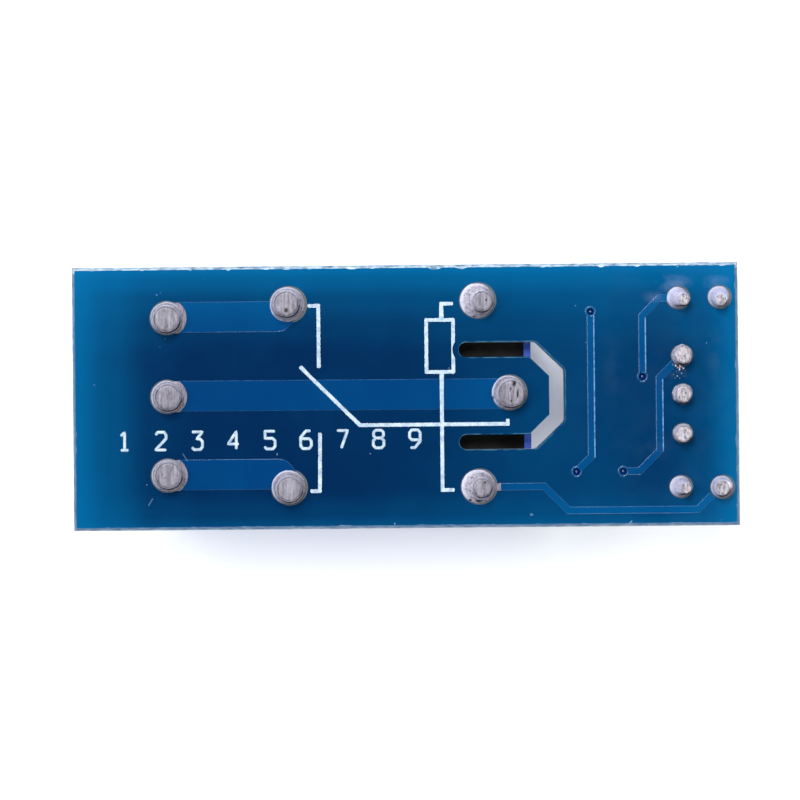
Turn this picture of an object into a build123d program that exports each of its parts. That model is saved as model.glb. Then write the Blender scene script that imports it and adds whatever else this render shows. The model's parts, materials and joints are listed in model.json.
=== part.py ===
from build123d import *
from math import atan2, cos, degrees, radians, sin
import os

# Single-channel relay module board, lying on its relay with the solder side up.
# X runs along the board from the screw terminals to the pin header, Y across it and Z up.
# The origin is the centre of the board outline, on the surface that the relay's top rests on.
# Every size is in millimetres. A height is counted from the board's component face, away from
# the board, so a greater height lies further down in this pose.

# Board
board_length = 43.0
board_width = 17.0
board_thickness = 1.6
score_width = 0.18
score_depth = 0.35
slot_width = 0.95
slot_end_x = 3.9
slot_bend_x = 8.15
slot_far_x = 9.73
slot_half_y = 2.98
slot_far_half_y = 1.45
copper_height = 0.05
ink_height = 0.02
seat_gap = 0.1

# Printed lines and copper
wide_track = 2.0
thin_track = 0.5
under_track = 0.4
track_bend_setback = 0.75
edge_lane_margin = 0.65
control_lane_margin = 1.05
via_pad_radius = 0.37
via_hole_radius = 0.22
via_wall = 0.04
ink_line = 0.28

# Solder joints
hole_gap = 0.15
round_sides = 12
bend_sides = 24
tail_length = 1.35
joint_height = 1.2
joint_bulge = 0.06
terminal_joint_radius = 1.15
terminal_tip_radius = 0.8
relay_joint_radius = 1.17
relay_tip_radius = 0.76
led_joint_radius = 0.77
led_tip_radius = 0.42
header_joint_radius = 0.72
header_tip_radius = 0.58

# Relay case and base
relay_length = 19.1
relay_width = 15.4
relay_height = 15.3
relay_centre_y = 0.12
case_wall = 0.45
case_roof = 0.6
case_corner = 0.8
case_edge = 0.45
case_fit = 0.05
seal_recess = 0.12
seal_thickness = 0.3
base_thickness = 1.8
barrier_height = 9.0
barrier_thickness = 0.8

# Relay pins, counted from the common pin
common_x = 6.74
common_end_margin = 1.38
coil_pin_setback = 2.0
contact_pin_setback = 14.22
relay_pin_spread = 12.0
blade_thickness = 0.5
blade_width = 1.0
coil_pin_side = 0.6
blade_body_width = 1.8
coil_post_height = 5.0

# Relay magnet
coil_sides = 20
yoke_thickness = 1.0
yoke_width = 8.0
layer_gap = 0.04
core_radius = 2.2
core_stub_radius = 1.5
pole_radius = 3.4
pole_thickness = 0.7
pole_height = 10.9
flange_thickness = 0.8
bobbin_wall = 0.5
flange_side = 9.1
flange_corner = 0.8
winding_margin = 0.35
lug_overhang = 0.75

# Relay armature and contacts
armature_thickness = 1.0
armature_side = 0.25
armature_length = 9.8
release_angle = 3.0
pole_gap = 0.05
leaf_thickness = 0.15
leaf_width = 4.4
leaf_leg = 5.4
contact_radius = 1.1
contact_thickness = 0.4
contact_reach = 0.85
contact_gap = 0.06
tongue_thickness = 0.4
tongue_overhang = 1.3

# Screw terminals
terminal_pitch = 5.08
terminal_count = 3
terminal_x = -15.24
terminal_centre_y = 0.15
housing_height = 10.0
housing_front = 4.1
housing_back = 3.6
housing_side = 0.25
ledge_height = 6.3
shoulder_height = 7.5
shoulder_setback = 1.2
housing_edge = 0.4
chamber_front = 1.2
chamber_back = 0.8
chamber_width = 4.1
wire_mouth_width = 3.2
wire_mouth_low = 1.9
wire_mouth_high = 4.7
wire_funnel = 0.35
rib_width = 2.0
rib_neck = 1.4
rib_height = 0.38
rib_clearance = 0.1

# Contact strips, cages and clamp screws
strip_thickness = 0.5
strip_width = 2.2
strip_floor = 0.7
bar_height = 4.1
bar_front_gap = 0.25
terminal_pin_width = 1.0
terminal_pin_depth = 0.8
cage_width = 3.8
cage_depth = 4.4
cage_wall = 0.5
cage_floor = 0.6
cage_roof = 1.0
cage_gap = 0.3
cage_back_gap = 0.2
cage_travel = 1.8
cage_end_gap = 0.3
screw_radius = 1.25
screw_running_gap = 0.05
screw_bar_gap = 0.05
head_radius = 1.75
head_height = 1.1
head_fit = 0.1
access_radius = 1.55
screw_slot_width = 0.5
screw_slot_depth = 0.6

# Pin header
header_x = 17.85
header_pitch = 2.54
header_count = 3
header_body = 2.54
header_notch = 0.55
header_pin_side = 0.64
header_pin_reach = 6.0
header_pin_taper = 0.4

# Indicator lamps
led_x = 18.97
led_margin = 2.4
led_centre_y = 0.1
led_pitch = 2.54
led_radius = 1.5
led_flange_radius = 1.9
led_flange_height = 1.0
led_lens_height = 5.3
led_standoff = 1.0
led_flat = 0.15
led_lead_side = 0.5
led_post_depth = 2.4
led_anvil_width = 1.1
led_anvil_height = 1.0

# Surface-mounted parts on the component side
chip_length = 2.0
chip_width = 1.25
chip_height = 0.5
chip_cap = 0.4
transistor_x = 13.4
transistor_y = 3.2
transistor_length = 2.9
transistor_width = 1.3
transistor_height = 0.95
transistor_lead_pitch = 1.9
transistor_lead_width = 0.4
transistor_lead_reach = 0.55
diode_x = 10.2
diode_margin = 1.8
diode_length = 2.7
diode_width = 1.6
diode_height = 1.1
diode_lead_reach = 0.5
diode_lead_width = 0.6
smd_lead_thickness = 0.15
fillet_length = 0.4
base_resistor = (12.3, 0.2)
power_resistor = (14.3, 0.1)
status_resistor_x = 14.6
status_resistor_margin = 1.9

# Levels and places that follow from the sizes above
component_face = relay_height + seat_gap
solder_face = component_face + board_thickness
tail_top = solder_face + tail_length

contact_x = common_x - contact_pin_setback
coil_x = common_x - coil_pin_setback
upper_pin_y = relay_centre_y + relay_pin_spread / 2
lower_pin_y = relay_centre_y - relay_pin_spread / 2
case_end_x = common_x + common_end_margin
case_centre_x = case_end_x - relay_length / 2
terminal_rows = [
    terminal_centre_y + terminal_pitch * (index - (terminal_count - 1) / 2) for index in range(terminal_count)
]
header_rows = [header_pitch * (index - (header_count - 1) / 2) for index in range(header_count)]
led_reach = board_width / 2 - led_margin
led_rows = [led_centre_y - led_reach, led_centre_y + led_reach]
led_columns = [led_x - led_pitch / 2, led_x + led_pitch / 2]
status_resistor = (status_resistor_x, status_resistor_margin - board_width / 2)
diode_y = board_width / 2 - diode_margin


def level(height):
    """Z of a plane that lies at this height from the component face."""
    return component_face - height


def sheet(height):
    """Horizontal plane at this height from the component face."""
    return Plane.XY.offset(level(height))


def across(y):
    """Upright plane along the board at this Y, where sketch points are (X, Z)."""
    return Plane.XZ.offset(-y)


# Places of the plated holes, by the kind of pin they hold
terminal_places = [(terminal_x, y) for y in terminal_rows]
contact_places = [(contact_x, lower_pin_y), (contact_x, upper_pin_y)]
coil_places = [(coil_x, lower_pin_y), (coil_x, upper_pin_y)]
common_place = (common_x, relay_centre_y)
blade_places = contact_places + [common_place]
led_places = [(x, y) for y in led_rows for x in led_columns]
header_places = [(header_x, y) for y in header_rows]
relay_places = blade_places + coil_places
vias = [(11.95, 5.37), (10.97, -4.95), (15.27, 1.14), (13.98, -4.95)]

terminal_hole = terminal_pin_width / 2 + hole_gap
blade_hole = blade_width / 2 + hole_gap
coil_hole = coil_pin_side / 2 * 2**0.5 + hole_gap
led_hole = led_lead_side / 2 * 2**0.5 + hole_gap
header_hole = header_pin_side / 2 * 2**0.5 + hole_gap
via_outer_radius = via_hole_radius + via_wall
plated_holes = [
    (terminal_places, terminal_hole),
    (blade_places, blade_hole),
    (coil_places, coil_hole),
    (led_places, led_hole),
    (header_places, header_hole),
    (vias, via_outer_radius),
]
joint_feet = [
    (terminal_places, terminal_joint_radius),
    (relay_places, relay_joint_radius),
    (led_places, led_joint_radius),
    (header_places, header_joint_radius),
]

os.makedirs("parts", exist_ok=True)


# Circuit board: glass-epoxy panel with scored edges, a C-shaped isolation slot and drilled holes.
with BuildPart() as circuit_board:
    with BuildSketch(Plane.XY.offset(component_face + board_thickness / 2)):
        Rectangle(board_length, board_width)
    extrude(amount=board_thickness / 2 - score_depth, both=True)
    score_taper = degrees(atan2(score_width, score_depth))
    extrude(circuit_board.faces().sort_by(Axis.Z)[-1], amount=score_depth, taper=score_taper)
    extrude(circuit_board.faces().sort_by(Axis.Z)[0], amount=score_depth, taper=score_taper)
    with BuildSketch(Plane.XY.offset(component_face)):
        with BuildLine():
            Polyline(
                (slot_end_x, slot_half_y),
                (slot_bend_x, slot_half_y),
                (slot_far_x, slot_far_half_y),
                (slot_far_x, -slot_far_half_y),
                (slot_bend_x, -slot_half_y),
                (slot_end_x, -slot_half_y),
            )
            offset(amount=slot_width / 2)
        make_face()
        for places, radius in plated_holes:
            with Locations(*places):
                RegularPolygon(radius, round_sides)
    extrude(amount=board_thickness, mode=Mode.SUBTRACT)
circuit_board.part.label = "circuit_board"
export_step(circuit_board.part, "parts/circuit_board.step")


# Solder-side copper: load tracks from the terminals to the contacts, their bends rounded, with
# thin control tracks and via pads.
track_bend_x = contact_x - track_bend_setback
control_lane_y = control_lane_margin - board_width / 2
load_tracks = [
    [terminal_places[2], (track_bend_x, terminal_rows[2]), contact_places[1]],
    [terminal_places[1], common_place],
    [terminal_places[0], (track_bend_x, terminal_rows[0]), contact_places[0]],
]
control_tracks = [
    [vias[0], (vias[0][0], -3.97), vias[1]],
    [led_places[2], (16.4, led_rows[1]), (vias[2][0], 5.05), vias[2]],
    [header_places[2], (16.36, 1.05), (16.36, -3.62), (15.03, -4.95), vias[3]],
    [coil_places[0], (8.87, lower_pin_y), (10.44, control_lane_y), (18.78, control_lane_y), led_places[1]],
]
with BuildPart() as solder_side_tracks:
    with BuildSketch(Plane.XY.offset(solder_face)):
        for route in load_tracks:
            for start, end in zip(route, route[1:]):
                with BuildLine() as track_line:
                    Line(start, end)
                trace(track_line.line, line_width=wide_track)
        with Locations(*[(track_bend_x, terminal_rows[row]) for row in (0, 2)]):
            RegularPolygon(wide_track / 2, bend_sides)
        for route in control_tracks:
            with BuildLine() as track_line:
                Polyline(*route)
            trace(track_line.line, line_width=thin_track)
        with Locations(*vias):
            RegularPolygon(via_pad_radius, round_sides)
            RegularPolygon(via_outer_radius, round_sides, mode=Mode.SUBTRACT)
        for places, radius in joint_feet:
            with Locations(*places):
                RegularPolygon(radius, round_sides, mode=Mode.SUBTRACT)
    extrude(amount=copper_height)
solder_side_tracks.part.label = "solder_side_tracks"
export_step(solder_side_tracks.part, "parts/solder_side_tracks.step")


# Surface-mounted parts: where each end touches the board, and which way that end faces.
chip_reach = chip_length / 2
transistor_reach = transistor_width / 2 + transistor_lead_reach
diode_reach = diode_length / 2 + diode_lead_reach
chips = [base_resistor, power_resistor, status_resistor]
chip_directions = [(0, 1), (0, 1), (1, 0)]
base_lead = (transistor_x - transistor_reach, transistor_y - transistor_lead_pitch / 2)
emitter_lead = (transistor_x - transistor_reach, transistor_y + transistor_lead_pitch / 2)
collector_lead = (transistor_x + transistor_reach, transistor_y)
diode_ends = [(diode_x - diode_reach, diode_y), (diode_x + diode_reach, diode_y)]

# Component-side copper: short links between the vias, the pins and the surface-mounted parts.
edge_lane_y = board_width / 2 - edge_lane_margin
under_tracks = [
    [vias[0], (emitter_lead[0], 5.0), emitter_lead],
    [vias[3], vias[1]],
    [vias[2], (power_resistor[0], power_resistor[1] + chip_reach)],
    [collector_lead, (collector_lead[0], 5.6), (13.4, diode_y), diode_ends[1]],
    [diode_ends[1], (12.0, 7.3), (11.45, edge_lane_y), (6.0, edge_lane_y), (coil_x, 6.6),
        coil_places[1]],
    [diode_ends[0], (diode_ends[0][0], 5.6), (10.85, 3.2), (10.85, -3.4), (8.37, lower_pin_y),
        coil_places[0]],
    [base_lead, (base_resistor[0], base_resistor[1] + chip_reach)],
    [(base_resistor[0], base_resistor[1] - chip_reach), (12.3, -1.3), (13.1, -2.1), (17.4, -2.1),
        header_places[0]],
    [(power_resistor[0], power_resistor[1] - chip_reach), (15.3, -0.9), (16.4, 0.2), (16.4, 1.1),
        header_places[2]],
    [(status_resistor[0] + chip_reach, status_resistor[1]), (16.6, status_resistor[1]), (17.2, led_rows[0]),
        led_places[0]],
    [(status_resistor[0] - chip_reach, status_resistor[1]), (9.1, status_resistor[1]), (8.37, lower_pin_y)],
    [led_places[3], (led_columns[1], 1.3), (18.95, 0.0), header_places[1]],
    [header_places[1], (18.95, 0.0), (led_columns[1], -1.3), led_places[1]],
]
with BuildPart() as component_side_tracks:
    with BuildSketch(Plane.XY.offset(component_face)):
        for route in under_tracks:
            with BuildLine() as track_line:
                Polyline(*route)
            trace(track_line.line, line_width=under_track)
        with Locations(*vias):
            RegularPolygon(via_pad_radius, round_sides)
        for places, radius in plated_holes:
            with Locations(*places):
                RegularPolygon(radius, round_sides, mode=Mode.SUBTRACT)
    extrude(amount=-copper_height)
component_side_tracks.part.label = "component_side_tracks"
export_step(component_side_tracks.part, "parts/component_side_tracks.step")


# Via barrels: plated tubes that join the two copper layers.
with BuildPart() as via_barrels:
    with BuildSketch(Plane.XY.offset(component_face - copper_height)):
        with Locations(*vias):
            RegularPolygon(via_outer_radius, round_sides)
            RegularPolygon(via_hole_radius, round_sides, mode=Mode.SUBTRACT)
    extrude(amount=board_thickness + 2 * copper_height)
via_barrels.part.label = "via_barrels"
export_step(via_barrels.part, "parts/via_barrels.step")


# Printed relay symbol: two fixed contacts, the switch arm, and the coil with its leads.
symbol_lines = [
    [(-6.26, 5.9), (-5.54, 5.9), (-5.54, 1.86)],
    [(-6.77, 2.01), (-2.92, -1.82), (6.61, -1.82), (6.61, -1.48)],
    [(-5.5, -2.27), (-5.54, -6.05), (-6.17, -6.05)],
    [(3.16, 5.96), (2.39, 5.96), (2.39, 4.95)],
    [(2.37, 1.53), (2.37, -6.05), (3.17, -6.05)],
]
coil_symbol_x = 2.27
coil_symbol_y = 3.24
coil_symbol_width = 1.8
coil_symbol_height = 3.42
with BuildPart() as printed_symbol:
    with BuildSketch(Plane.XY.offset(solder_face)):
        for route in symbol_lines:
            with BuildLine() as stroke:
                Polyline(*route)
            trace(stroke.line, line_width=ink_line)
        with Locations((coil_symbol_x, coil_symbol_y)):
            Rectangle(coil_symbol_width + ink_line / 2, coil_symbol_height + ink_line / 2)
            Rectangle(coil_symbol_width - ink_line, coil_symbol_height - ink_line, mode=Mode.SUBTRACT)
    extrude(amount=copper_height + ink_height)
    add(solder_side_tracks.part, mode=Mode.SUBTRACT)
printed_symbol.part.label = "printed_symbol"
export_step(printed_symbol.part, "parts/printed_symbol.step")


# Solder joints: each a cone of solder round its pin, cut off just below the pin's clipped end,
# with a plug of solder that fills the plated hole. The small rounds are polygons.
joint_kinds = {
    "terminal_joints": (
        terminal_joint_radius,
        terminal_tip_radius,
        [(terminal_places, terminal_hole, terminal_pin_depth, terminal_pin_width)],
    ),
    "relay_joints": (
        relay_joint_radius,
        relay_tip_radius,
        [
            (blade_places, blade_hole, blade_thickness, blade_width),
            (coil_places, coil_hole, coil_pin_side, coil_pin_side),
        ],
    ),
    "led_joints": (
        led_joint_radius,
        led_tip_radius,
        [(led_places, led_hole, led_lead_side, led_lead_side)],
    ),
    "header_joints": (
        header_joint_radius,
        header_tip_radius,
        [(header_places, header_hole, header_pin_side, header_pin_side)],
    ),
}
for joint_name, (foot_radius, tip_radius, pin_groups) in joint_kinds.items():
    waist_radius = (foot_radius + tip_radius) / 2 + joint_bulge
    outlines = ((0, foot_radius), (joint_height / 2, waist_radius), (joint_height, tip_radius))
    with BuildPart() as solder_joints:
        for places, hole_radius, pin_x, pin_y in pin_groups:
            for place in places:
                for rise, radius in outlines:
                    with BuildSketch(Plane.XY.offset(solder_face + rise)):
                        with Locations(place):
                            RegularPolygon(radius, round_sides)
                loft(ruled=True)
            with BuildSketch(Plane.XY.offset(component_face)):
                with Locations(*places):
                    RegularPolygon(hole_radius, round_sides)
            extrude(amount=board_thickness)
            with BuildSketch(Plane.XY.offset(component_face)):
                with Locations(*places):
                    Rectangle(pin_x, pin_y)
            extrude(amount=board_thickness + tail_length, mode=Mode.SUBTRACT)
    solder_joints.part.label = joint_name
    export_step(solder_joints.part, f"parts/{joint_name}.step")


# Relay case: a five-sided moulded box, its open rim towards the board. The part rests on its roof.
rim_height = seat_gap
with BuildPart() as relay_case:
    with BuildSketch(Plane.XY):
        with Locations((case_centre_x, relay_centre_y)):
            RectangleRounded(relay_length, relay_width, case_corner)
    extrude(amount=relay_height)
    fillet(relay_case.faces().sort_by(Axis.Z)[0].edges(), radius=case_edge)
    with BuildSketch(Plane.XY.offset(case_roof)):
        with Locations((case_centre_x, relay_centre_y)):
            Rectangle(relay_length - 2 * case_wall, relay_width - 2 * case_wall)
    extrude(amount=relay_height - case_roof, mode=Mode.SUBTRACT)
relay_case.part.label = "relay_case"
export_step(relay_case.part, "parts/relay_case.step")


# Heights inside the relay, from the component face
seal_height = rim_height + seal_recess
base_low = seal_height + seal_thickness
base_high = base_low + base_thickness
foot_high = base_high + yoke_thickness
flange_high = foot_high + flange_thickness
pole_low = pole_height - pole_thickness
inner_length = relay_length - 2 * (case_wall + case_fit)
inner_width = relay_width - 2 * (case_wall + case_fit)

# Base: moulded floor that holds the pins, with a barrier between the contacts and the coil.
yoke_face_x = common_x - blade_thickness / 2 - layer_gap
coil_axis_x = yoke_face_x - yoke_thickness - layer_gap - flange_side / 2
barrier_x = coil_axis_x - flange_side / 2 - barrier_thickness
with BuildPart() as relay_base:
    with BuildSketch(sheet(base_low)):
        with Locations((case_centre_x, relay_centre_y)):
            Rectangle(inner_length, inner_width)
        with Locations(*blade_places):
            Rectangle(blade_thickness, blade_width, mode=Mode.SUBTRACT)
        with Locations(*coil_places):
            Rectangle(coil_pin_side, coil_pin_side, mode=Mode.SUBTRACT)
    extrude(amount=-base_thickness)
    with BuildSketch(sheet(base_high)):
        with Locations((barrier_x, relay_centre_y)):
            Rectangle(barrier_thickness, inner_width - 2 * barrier_thickness)
    extrude(amount=base_high - barrier_height)
relay_base.part.label = "relay_base"
export_step(relay_base.part, "parts/relay_base.step")


# Base seal: the black resin poured over the base inside the rim, seen through the board's slot.
with BuildPart() as base_seal:
    with BuildSketch(sheet(seal_height)):
        with Locations((case_centre_x, relay_centre_y)):
            Rectangle(inner_length + 2 * case_fit, inner_width + 2 * case_fit)
        with Locations(*blade_places):
            Rectangle(blade_thickness, blade_width, mode=Mode.SUBTRACT)
        with Locations(*coil_places):
            Rectangle(coil_pin_side, coil_pin_side, mode=Mode.SUBTRACT)
    extrude(amount=-seal_thickness)
base_seal.part.label = "base_seal"
export_step(base_seal.part, "parts/base_seal.step")


# Yoke: an L of soft iron, its foot under the coil and its leg beside it.
with BuildPart() as yoke:
    with BuildSketch(across(relay_centre_y)):
        with BuildLine():
            Polyline(
                (coil_axis_x - core_radius, level(base_high)),
                (yoke_face_x, level(base_high)),
                (yoke_face_x, level(pole_height)),
                (yoke_face_x - yoke_thickness, level(pole_height)),
                (yoke_face_x - yoke_thickness, level(foot_high)),
                (coil_axis_x - core_radius, level(foot_high)),
                close=True,
            )
        make_face()
    extrude(amount=yoke_width / 2, both=True)
    with BuildSketch(sheet(base_high)):
        with Locations((coil_axis_x, relay_centre_y)):
            RegularPolygon(core_stub_radius, coil_sides)
    extrude(amount=-yoke_thickness, mode=Mode.SUBTRACT)
yoke.part.label = "yoke"
export_step(yoke.part, "parts/yoke.step")


# Coil core: riveted into the yoke's foot, with a wide pole face under the armature.
with BuildPart() as coil_core:
    with BuildSketch(sheet(base_high)):
        with Locations((coil_axis_x, relay_centre_y)):
            RegularPolygon(core_stub_radius, coil_sides)
    extrude(amount=-yoke_thickness)
    with BuildSketch(sheet(foot_high)):
        with Locations((coil_axis_x, relay_centre_y)):
            RegularPolygon(core_radius, coil_sides)
    extrude(amount=foot_high - pole_low)
    with BuildSketch(sheet(pole_low)):
        with Locations((coil_axis_x, relay_centre_y)):
            RegularPolygon(pole_radius, coil_sides)
    extrude(amount=-pole_thickness)
coil_core.part.label = "coil_core"
export_step(coil_core.part, "parts/coil_core.step")


# Coil bobbin: a tube between two flanges, the one at the base reaching out to hold the coil pins.
lug_span = relay_pin_spread + 2 * lug_overhang
with BuildPart() as coil_bobbin:
    with BuildSketch(sheet(foot_high)):
        with Locations((coil_axis_x, relay_centre_y)):
            Rectangle(flange_side, lug_span)
            RegularPolygon(core_radius, coil_sides, mode=Mode.SUBTRACT)
        with Locations(*coil_places):
            Rectangle(coil_pin_side, coil_pin_side, mode=Mode.SUBTRACT)
    extrude(amount=-flange_thickness)
    with BuildSketch(sheet(flange_high)):
        with Locations((coil_axis_x, relay_centre_y)):
            RegularPolygon(core_radius + bobbin_wall, coil_sides)
            RegularPolygon(core_radius, coil_sides, mode=Mode.SUBTRACT)
    extrude(amount=flange_high - pole_low)
    with BuildSketch(sheet(pole_low)):
        with Locations((coil_axis_x, relay_centre_y)):
            RectangleRounded(flange_side, flange_side, flange_corner)
            RegularPolygon(core_radius, coil_sides, mode=Mode.SUBTRACT)
    extrude(amount=flange_thickness)
coil_bobbin.part.label = "coil_bobbin"
export_step(coil_bobbin.part, "parts/coil_bobbin.step")


# Coil winding: enamelled wire that fills the bobbin between its flanges.
winding_span = pole_low - flange_thickness - flange_high
with BuildPart() as coil_winding:
    with BuildSketch(sheet(flange_high)):
        with Locations((coil_axis_x, relay_centre_y)):
            RegularPolygon(flange_side / 2 - winding_margin, coil_sides)
            RegularPolygon(core_radius + bobbin_wall, coil_sides, mode=Mode.SUBTRACT)
    extrude(amount=-winding_span)
coil_winding.part.label = "coil_winding"
export_step(coil_winding.part, "parts/coil_winding.step")


# Coil terminals: square posts through the bobbin's lugs, the base and the board.
with BuildPart() as coil_terminals:
    with BuildSketch(Plane.XY.offset(tail_top)):
        with Locations(*coil_places):
            Rectangle(coil_pin_side, coil_pin_side)
    extrude(amount=-(tail_length + board_thickness + coil_post_height))
coil_terminals.part.label = "coil_terminals"
export_step(coil_terminals.part, "parts/coil_terminals.step")


# Common terminal: a blade that lies flat against the yoke's leg and narrows to its pin.
common_height = base_high + leaf_leg / 2
with BuildPart() as common_terminal:
    with BuildSketch(Plane.XY.offset(tail_top)):
        with Locations(common_place):
            Rectangle(blade_thickness, blade_width)
    extrude(amount=-(tail_length + board_thickness + base_high))
    with BuildSketch(sheet(base_high)):
        with Locations(common_place):
            Rectangle(blade_thickness, yoke_width / 2)
    extrude(amount=base_high - common_height)
common_terminal.part.label = "common_terminal"
export_step(common_terminal.part, "parts/common_terminal.step")


# Armature geometry. It turns about the yoke's outer edge. At rest the coil is off and the far end
# has dropped away from the pole by the release angle.
slope = radians(release_angle)
armature_width = yoke_width + 2 * armature_side
hinge = Vector(yoke_face_x, relay_centre_y, level(pole_height))
armature_plane = Plane(origin=hinge, x_dir=(cos(slope), 0, sin(slope)), z_dir=(-sin(slope), 0, cos(slope)))
contact_run = contact_pin_setback + contact_reach - (common_x - yoke_face_x)
leaf_top = -(pole_gap + armature_thickness)

# Armature: a soft-iron plate over the pole face.
with BuildPart() as armature:
    with BuildSketch(armature_plane.offset(-pole_gap)):
        with Locations((-armature_length / 2, 0)):
            Rectangle(armature_length, armature_width)
    extrude(amount=-armature_thickness)
armature.part.label = "armature"
export_step(armature.part, "parts/armature.step")

# Contact spring: a thin leaf on the armature that carries the contact and bends down past the hinge.
leaf_outset = blade_thickness + 3 * layer_gap + leaf_thickness / 2
leaf_end = contact_run + contact_radius + leaf_thickness
leaf_drop = leaf_top - leaf_thickness / 2
bend_z = hinge.Z + leaf_drop
with BuildPart() as contact_spring:
    with BuildSketch(across(relay_centre_y)):
        with BuildLine():
            Polyline(
                (
                    hinge.X - leaf_end * cos(slope) - leaf_drop * sin(slope),
                    hinge.Z - leaf_end * sin(slope) + leaf_drop * cos(slope),
                ),
                (hinge.X - leaf_drop * sin(slope), hinge.Z + leaf_drop * cos(slope)),
                (hinge.X + leaf_outset, bend_z + leaf_outset * sin(slope)),
                (hinge.X + leaf_outset, hinge.Z + leaf_leg),
            )
        trace(line_width=leaf_thickness)
    extrude(amount=leaf_width / 2, both=True)
contact_spring.part.label = "contact_spring"
export_step(contact_spring.part, "parts/contact_spring.step")

# Moving contact: a silver face on each side of the spring's end.
with BuildPart() as moving_contact:
    with BuildSketch(armature_plane.offset(leaf_top)):
        with Locations((-contact_run, 0)):
            RegularPolygon(contact_radius, round_sides)
    extrude(amount=contact_thickness)
    with BuildSketch(armature_plane.offset(leaf_top - leaf_thickness)):
        with Locations((-contact_run, 0)):
            RegularPolygon(contact_radius, round_sides)
    extrude(amount=-contact_thickness)
moving_contact.part.label = "moving_contact"
export_step(moving_contact.part, "parts/moving_contact.step")


# Fixed contacts. The normally open one waits at the pulled-in height, and the normally closed one
# lies just beyond the released height.
swing_drop = (contact_run + contact_radius) * sin(slope)
fixed_x = hinge.X - contact_run
open_face = pole_height + pole_gap + armature_thickness - contact_thickness - contact_gap
open_tongue = open_face - contact_thickness
closed_face = pole_height - leaf_top + leaf_thickness + contact_thickness + swing_drop + contact_gap
closed_tongue = closed_face + contact_thickness + tongue_thickness
tongue_end_x = contact_x + blade_thickness / 2
tongue_start_x = fixed_x - contact_radius
tongue_middle_x = (tongue_start_x + tongue_end_x) / 2
tongue_length_x = tongue_end_x - tongue_start_x
tongue_reach_y = relay_pin_spread / 2 + blade_body_width / 2 + tongue_overhang

# Normally open terminal: pin, upright blade and a tongue that reaches over to the contact.
with BuildPart() as normally_open_terminal:
    with BuildSketch(Plane.XY.offset(tail_top)):
        with Locations((contact_x, lower_pin_y)):
            Rectangle(blade_thickness, blade_width)
    extrude(amount=-(tail_length + board_thickness + base_high))
    with BuildSketch(sheet(base_high)):
        with Locations((contact_x, lower_pin_y)):
            Rectangle(blade_thickness, blade_body_width)
    extrude(amount=base_high - open_tongue)
    with BuildSketch(sheet(open_tongue)):
        with Locations((tongue_middle_x, lower_pin_y - blade_body_width / 2 + tongue_reach_y / 2)):
            Rectangle(tongue_length_x, tongue_reach_y)
    extrude(amount=tongue_thickness)
normally_open_terminal.part.label = "normally_open_terminal"
export_step(normally_open_terminal.part, "parts/normally_open_terminal.step")

# Normally closed terminal: the same strip, reaching past the spring to its far side.
with BuildPart() as normally_closed_terminal:
    with BuildSketch(Plane.XY.offset(tail_top)):
        with Locations((contact_x, upper_pin_y)):
            Rectangle(blade_thickness, blade_width)
    extrude(amount=-(tail_length + board_thickness + base_high))
    with BuildSketch(sheet(base_high)):
        with Locations((contact_x, upper_pin_y)):
            Rectangle(blade_thickness, blade_body_width)
    extrude(amount=base_high - closed_tongue)
    with BuildSketch(sheet(closed_tongue)):
        with Locations((tongue_middle_x, upper_pin_y + blade_body_width / 2 - tongue_reach_y / 2)):
            Rectangle(tongue_length_x, tongue_reach_y)
    extrude(amount=tongue_thickness)
normally_closed_terminal.part.label = "normally_closed_terminal"
export_step(normally_closed_terminal.part, "parts/normally_closed_terminal.step")

# Fixed contact faces: silver discs on the two tongues.
with BuildPart() as fixed_contacts:
    with BuildSketch(sheet(open_tongue)):
        with Locations((fixed_x, relay_centre_y)):
            RegularPolygon(contact_radius, round_sides)
    extrude(amount=-contact_thickness)
    with BuildSketch(sheet(closed_face)):
        with Locations((fixed_x, relay_centre_y)):
            RegularPolygon(contact_radius, round_sides)
    extrude(amount=-contact_thickness)
fixed_contacts.part.label = "fixed_contacts"
export_step(fixed_contacts.part, "parts/fixed_contacts.step")


# Terminal housing: one moulding with a stepped front, three chambers open towards the board,
# a wire mouth and a screw access hole for each, and a dovetail rib and groove on its ends.
housing_front_x = terminal_x - housing_front
housing_back_x = terminal_x + housing_back
housing_half = terminal_pitch * terminal_count / 2 + housing_side
chamber_front_x = housing_front_x + chamber_front
chamber_back_x = housing_back_x - chamber_back
strip_back_x = chamber_back_x - bar_front_gap / 2
cage_back_x = strip_back_x - strip_thickness - cage_back_gap
cage_axis_x = cage_back_x - cage_depth / 2
cage_low = strip_floor + strip_thickness + cage_gap
cage_window_low = cage_low + cage_floor
bar_top = bar_height + strip_thickness
cage_window_high = bar_top + cage_gap
cage_high = cage_window_high + cage_roof
chamber_height = cage_high + cage_travel + cage_end_gap
head_low = chamber_height
lip_low = head_low + head_height + head_fit
rib_x = terminal_x
rib_angle = degrees(atan2(rib_height, (rib_width - rib_neck) / 2))
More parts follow.
